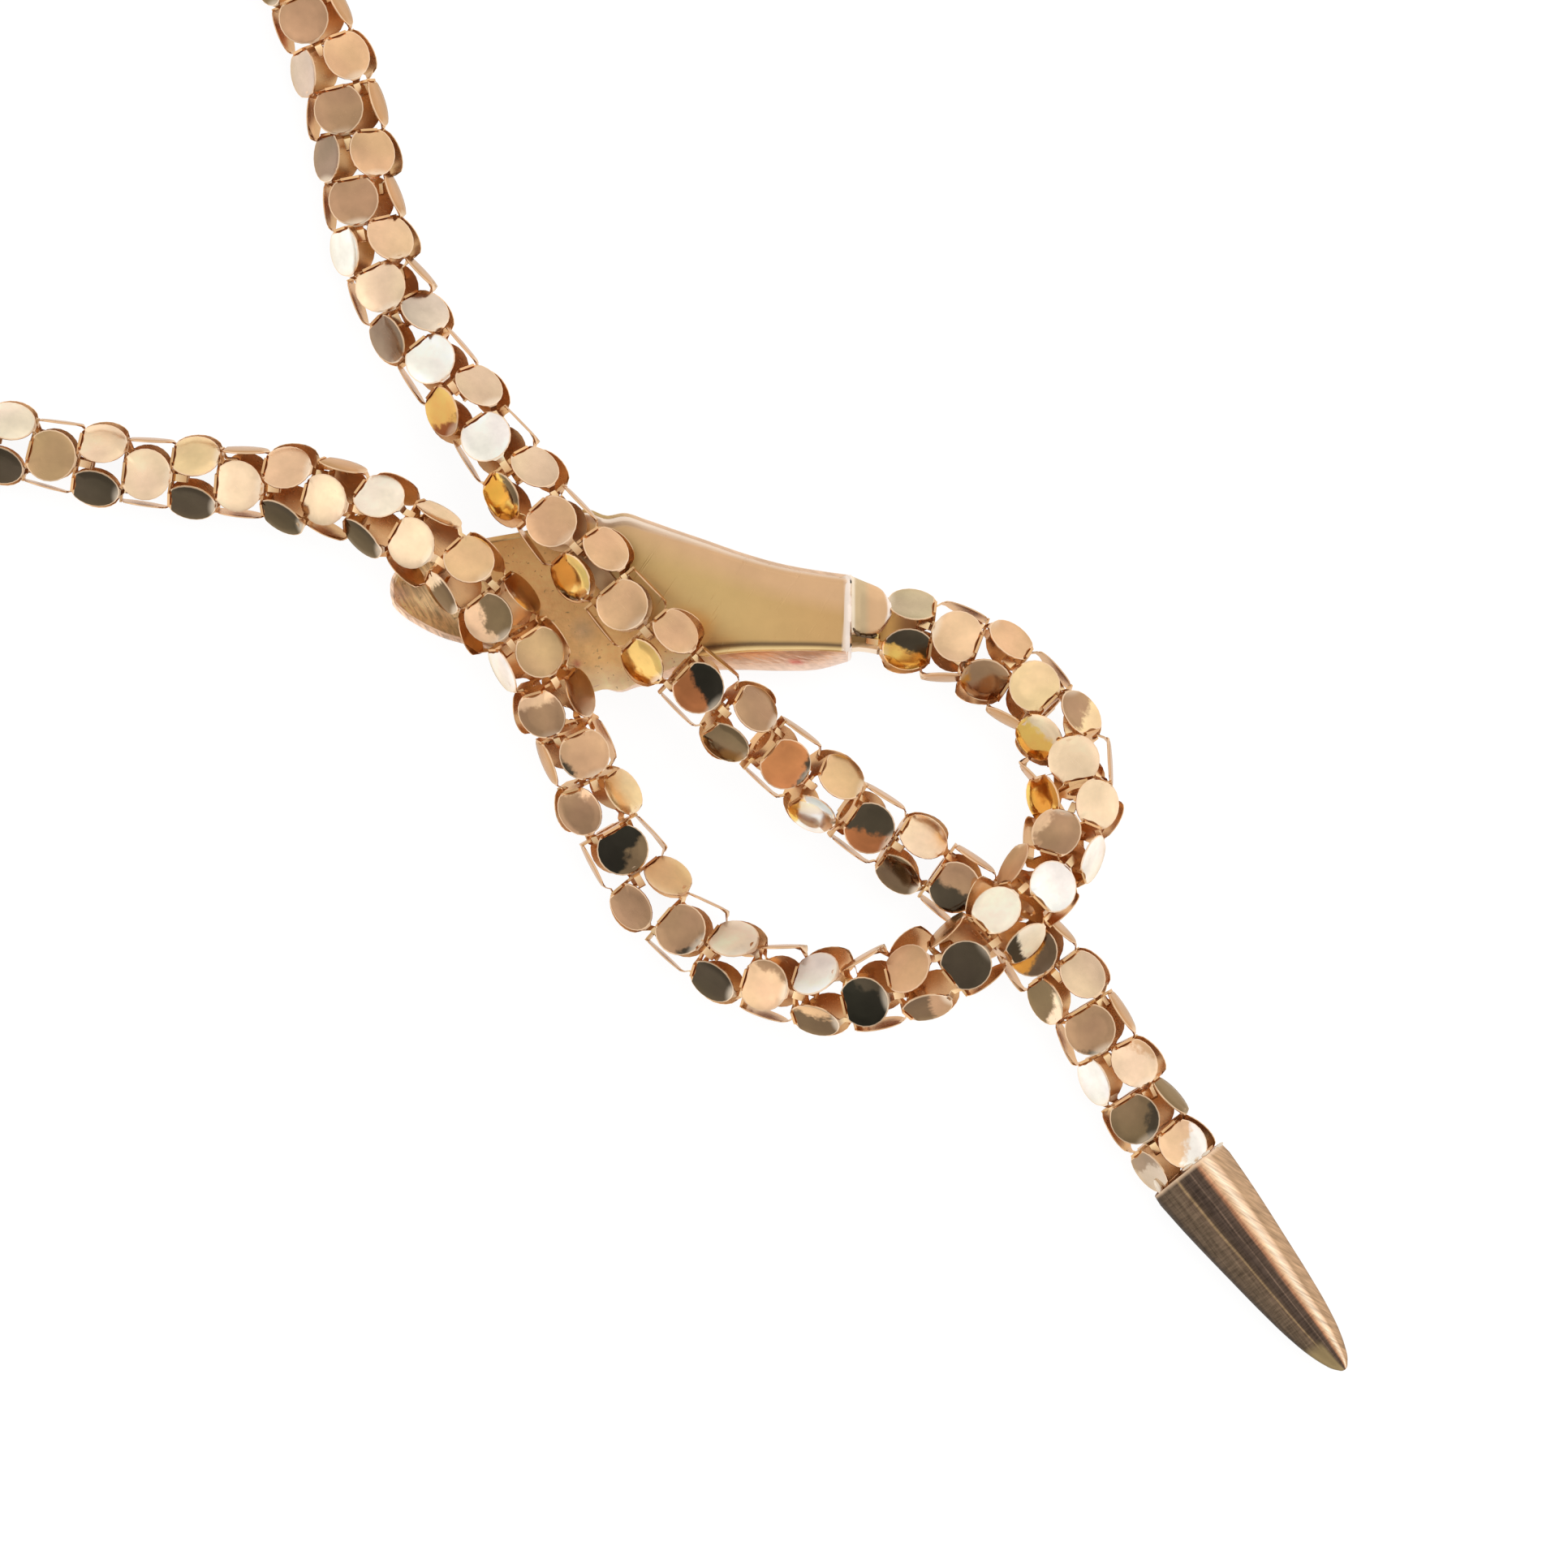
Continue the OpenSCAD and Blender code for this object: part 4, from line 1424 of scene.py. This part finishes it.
def tip_colour(tree):
    side, run, inner = tree.apart(tree.attribute("across", 1))
    where = side * 0.5 + 0.5 + (tree.noise(tree.place(), 120, 1) - 0.5) * 0.06
    flank = where.ramp(0.6, 0.72)
    marks = ((tree.strokes(6000, 3, 0.03, LENGTHWISE, 0.1)
              + tree.strokes(5600, 3, 0.16, CROSSWISE, 0.1)) * 1.5 - 0.5) * (1 - flank)
    marks = marks + (tree.strokes(6400, 3, 0.05, SLANTED, 0.1) * 1.7 + 0.15) * flank
    shade = tree.scale_colour(tree.ramp(where, BANDS), marks)
    lip = 1 - run.ramp(-0.014, 0.004)
    shade = tree.mix(lip * 0.85, shade, (0.92, 0.66, 0.45))
    under = run.ramp(0.82, 0.88) * (1 - where.ramp(0.38, 0.5))
    shade = tree.mix(under, shade, (0.36, 0.26, 0.13))
    # the floor inside the mouth: dark brown on one side and pale on the other, painted
    # shade and painted light
    inside = tree.mix(side.ramp(-0.25, 0.1), (0.40, 0.20, 0.095), (0.90, 0.70, 0.54))
    return tree.mix(inner, shade, inside)


def tip_roughness(tree):
    return tree.strokes(5000, 3, 0.05, LENGTHWISE) * 0.2 + 0.3


def tip_bump(tree):
    return (tree.strokes(9000, 3, 0.02, LENGTHWISE) * 0.4
            + tree.strokes(6400, 2, 0.05, SLANTED, 0.1) * 0.3)


tip_gold = gold("tail_tip_gold", tip_colour, tip_roughness, tip_bump, 0.00003,
                edge=(0.45, 0.45, 0.45))
print(len(bpy.data.materials), "materials")

# %% [markdown]
# Ties to the frame
#
# Each piece now gets its metal and rides on the root body, and the solid of
# the frame that it stands for is hidden.

# %% Tie the pieces to the frame
TIES = [  # slot of the record, metal, the solid it stands for, pieces
    ("cups", cup_gold, "head_chain", [head_chain]),
    ("cups", cup_gold, "tail_chain", [tail_chain]),
    ("cups", cup_gold, "joining_link", [joining]),
    ("head", pressing_gold, "head", [head_shell]),
    ("head", plate_gold, None, [back_plate, neck_end, collar, collar_disc,
                                collar_leaf, crumbs, clasp]),
    ("head", lining_gold, None, [lining, collar_plate]),
    ("tail_tip", tip_gold, "tail_tip", [tail_tip]),
    ("tail_tip", plate_gold, None, [solder]),
    ("tail_tip", lining_gold, None, [tip_plate])]
for slot, material, node, pieces in TIES:
    for piece in pieces:
        piece.data.materials.clear()
        piece.data.materials.append(material)
        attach(piece, "root")
        if node:
            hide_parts(node)
print("pieces tied")

# %% [markdown]
# Floor, light and camera
#
# The necklace was photographed on a lit white ground from straight above, so
# the floor glows and shows hardly a shadow. Polished metal shows whatever
# surrounds it: a broad pale tent, brighter to the left and to the right, and
# darker overhead, where the camera hangs, and low on the near side.

# %% Floor
nothing_selected()
bpy.ops.mesh.primitive_plane_add(size=3, location=(0, 0, -0.2 * MM))
floor = bpy.context.object
floor.name = "floor"
paper = bpy.data.materials.new("white_paper")
paper.use_nodes = True
paper_tree = Tree(paper.node_tree)
glow = paper_tree.add("Emission", None, {0: (1, 1, 1, 1), 1: 0.9})
matt = paper_tree.add("BsdfDiffuse", None, {0: (0.14, 0.14, 0.14, 1)})
both = paper_tree.add("AddShader", None, {0: glow, 1: matt})
paper_tree.add("OutputMaterial", None, {0: both})
floor.data.materials.append(paper)
print("floor laid")

# %% Light all round
world = bpy.data.worlds.new("tent")
bpy.context.scene.world = world
world.use_nodes = True
sky = Tree(world.node_tree)
way = sky.add("TexCoord", out=0)


def toward(azimuth, elevation, inner, outer):
    """1 within `inner` degrees of a direction, 0 beyond `outer` degrees."""
    a, e = radians(azimuth), radians(elevation)
    aim = (cos(a) * cos(e), sin(a) * cos(e), sin(e))
    near = sky.add("VectorMath", {"operation": "DOT_PRODUCT"}, {0: way, 1: aim}, out=1)
    return near.ramp(cos(radians(outer)), cos(radians(inner)))


light = (0.90 + toward(40, 30, 25, 55) * 0.15 + toward(185, 40, 12, 30) * 0.25
         - toward(0, 90, 6, 16) * 0.10 - toward(245, 8, 22, 48) * 0.22)
light = light + (sky.noise(way, 3.2, 1.5) - 0.5) * 0.6
seen = sky.add("LightPath", out=0)
strength = light * (1 - seen) + seen * 0.95
tent = sky.add("Background", None, {0: (1.0, 0.985, 0.96, 1), 1: strength})
sky.add("OutputWorld", None, {0: tent})
print("tent:", len(sky.nodes), "nodes")

# %% Key light
bpy.ops.object.light_add(type="AREA", location=(0.35, 0.25, 0.9))
key = bpy.context.object
key.data.size = 0.7
key.data.energy = 4.0
key.visible_glossy = False
key_aim = Vector((0.02, -0.02, 0)) - key.location
key.rotation_euler = key_aim.to_track_quat("-Z", "Y").to_euler()
print("key light set")

# %% [markdown]
# Camera
#
# The camera hangs a metre above the ground, as for a flat catalogue picture.
# From so far off the upper strands look hardly larger than the lower ones. Its
# lens is worked out from the width that the photo covers at the chain's height.

# %% Camera straight above, at the photo's place
HALF_WIDTH, CHAIN_LEVEL, CAMERA_HEIGHT = 60.375, 5.0, 1000.0
camera_at = Vector((50.675, -43.075, CAMERA_HEIGHT)) * MM
camera_data = bpy.data.cameras.new("camera")
camera_data.sensor_width = 36.0
spread = HALF_WIDTH / (CAMERA_HEIGHT - CHAIN_LEVEL)     # half the view per distance
camera_data.lens = camera_data.sensor_width / 2 / spread
camera_data.clip_start, camera_data.clip_end = 0.05, 20.0
camera = bpy.data.objects.new("camera", camera_data)
camera.location = camera_at
bpy.context.collection.objects.link(camera)
bpy.context.scene.camera = camera
bpy.context.scene.view_settings.view_transform = "Standard"
print("camera at", *(round(v, 4) for v in camera_at), "lens", round(camera_data.lens, 1))
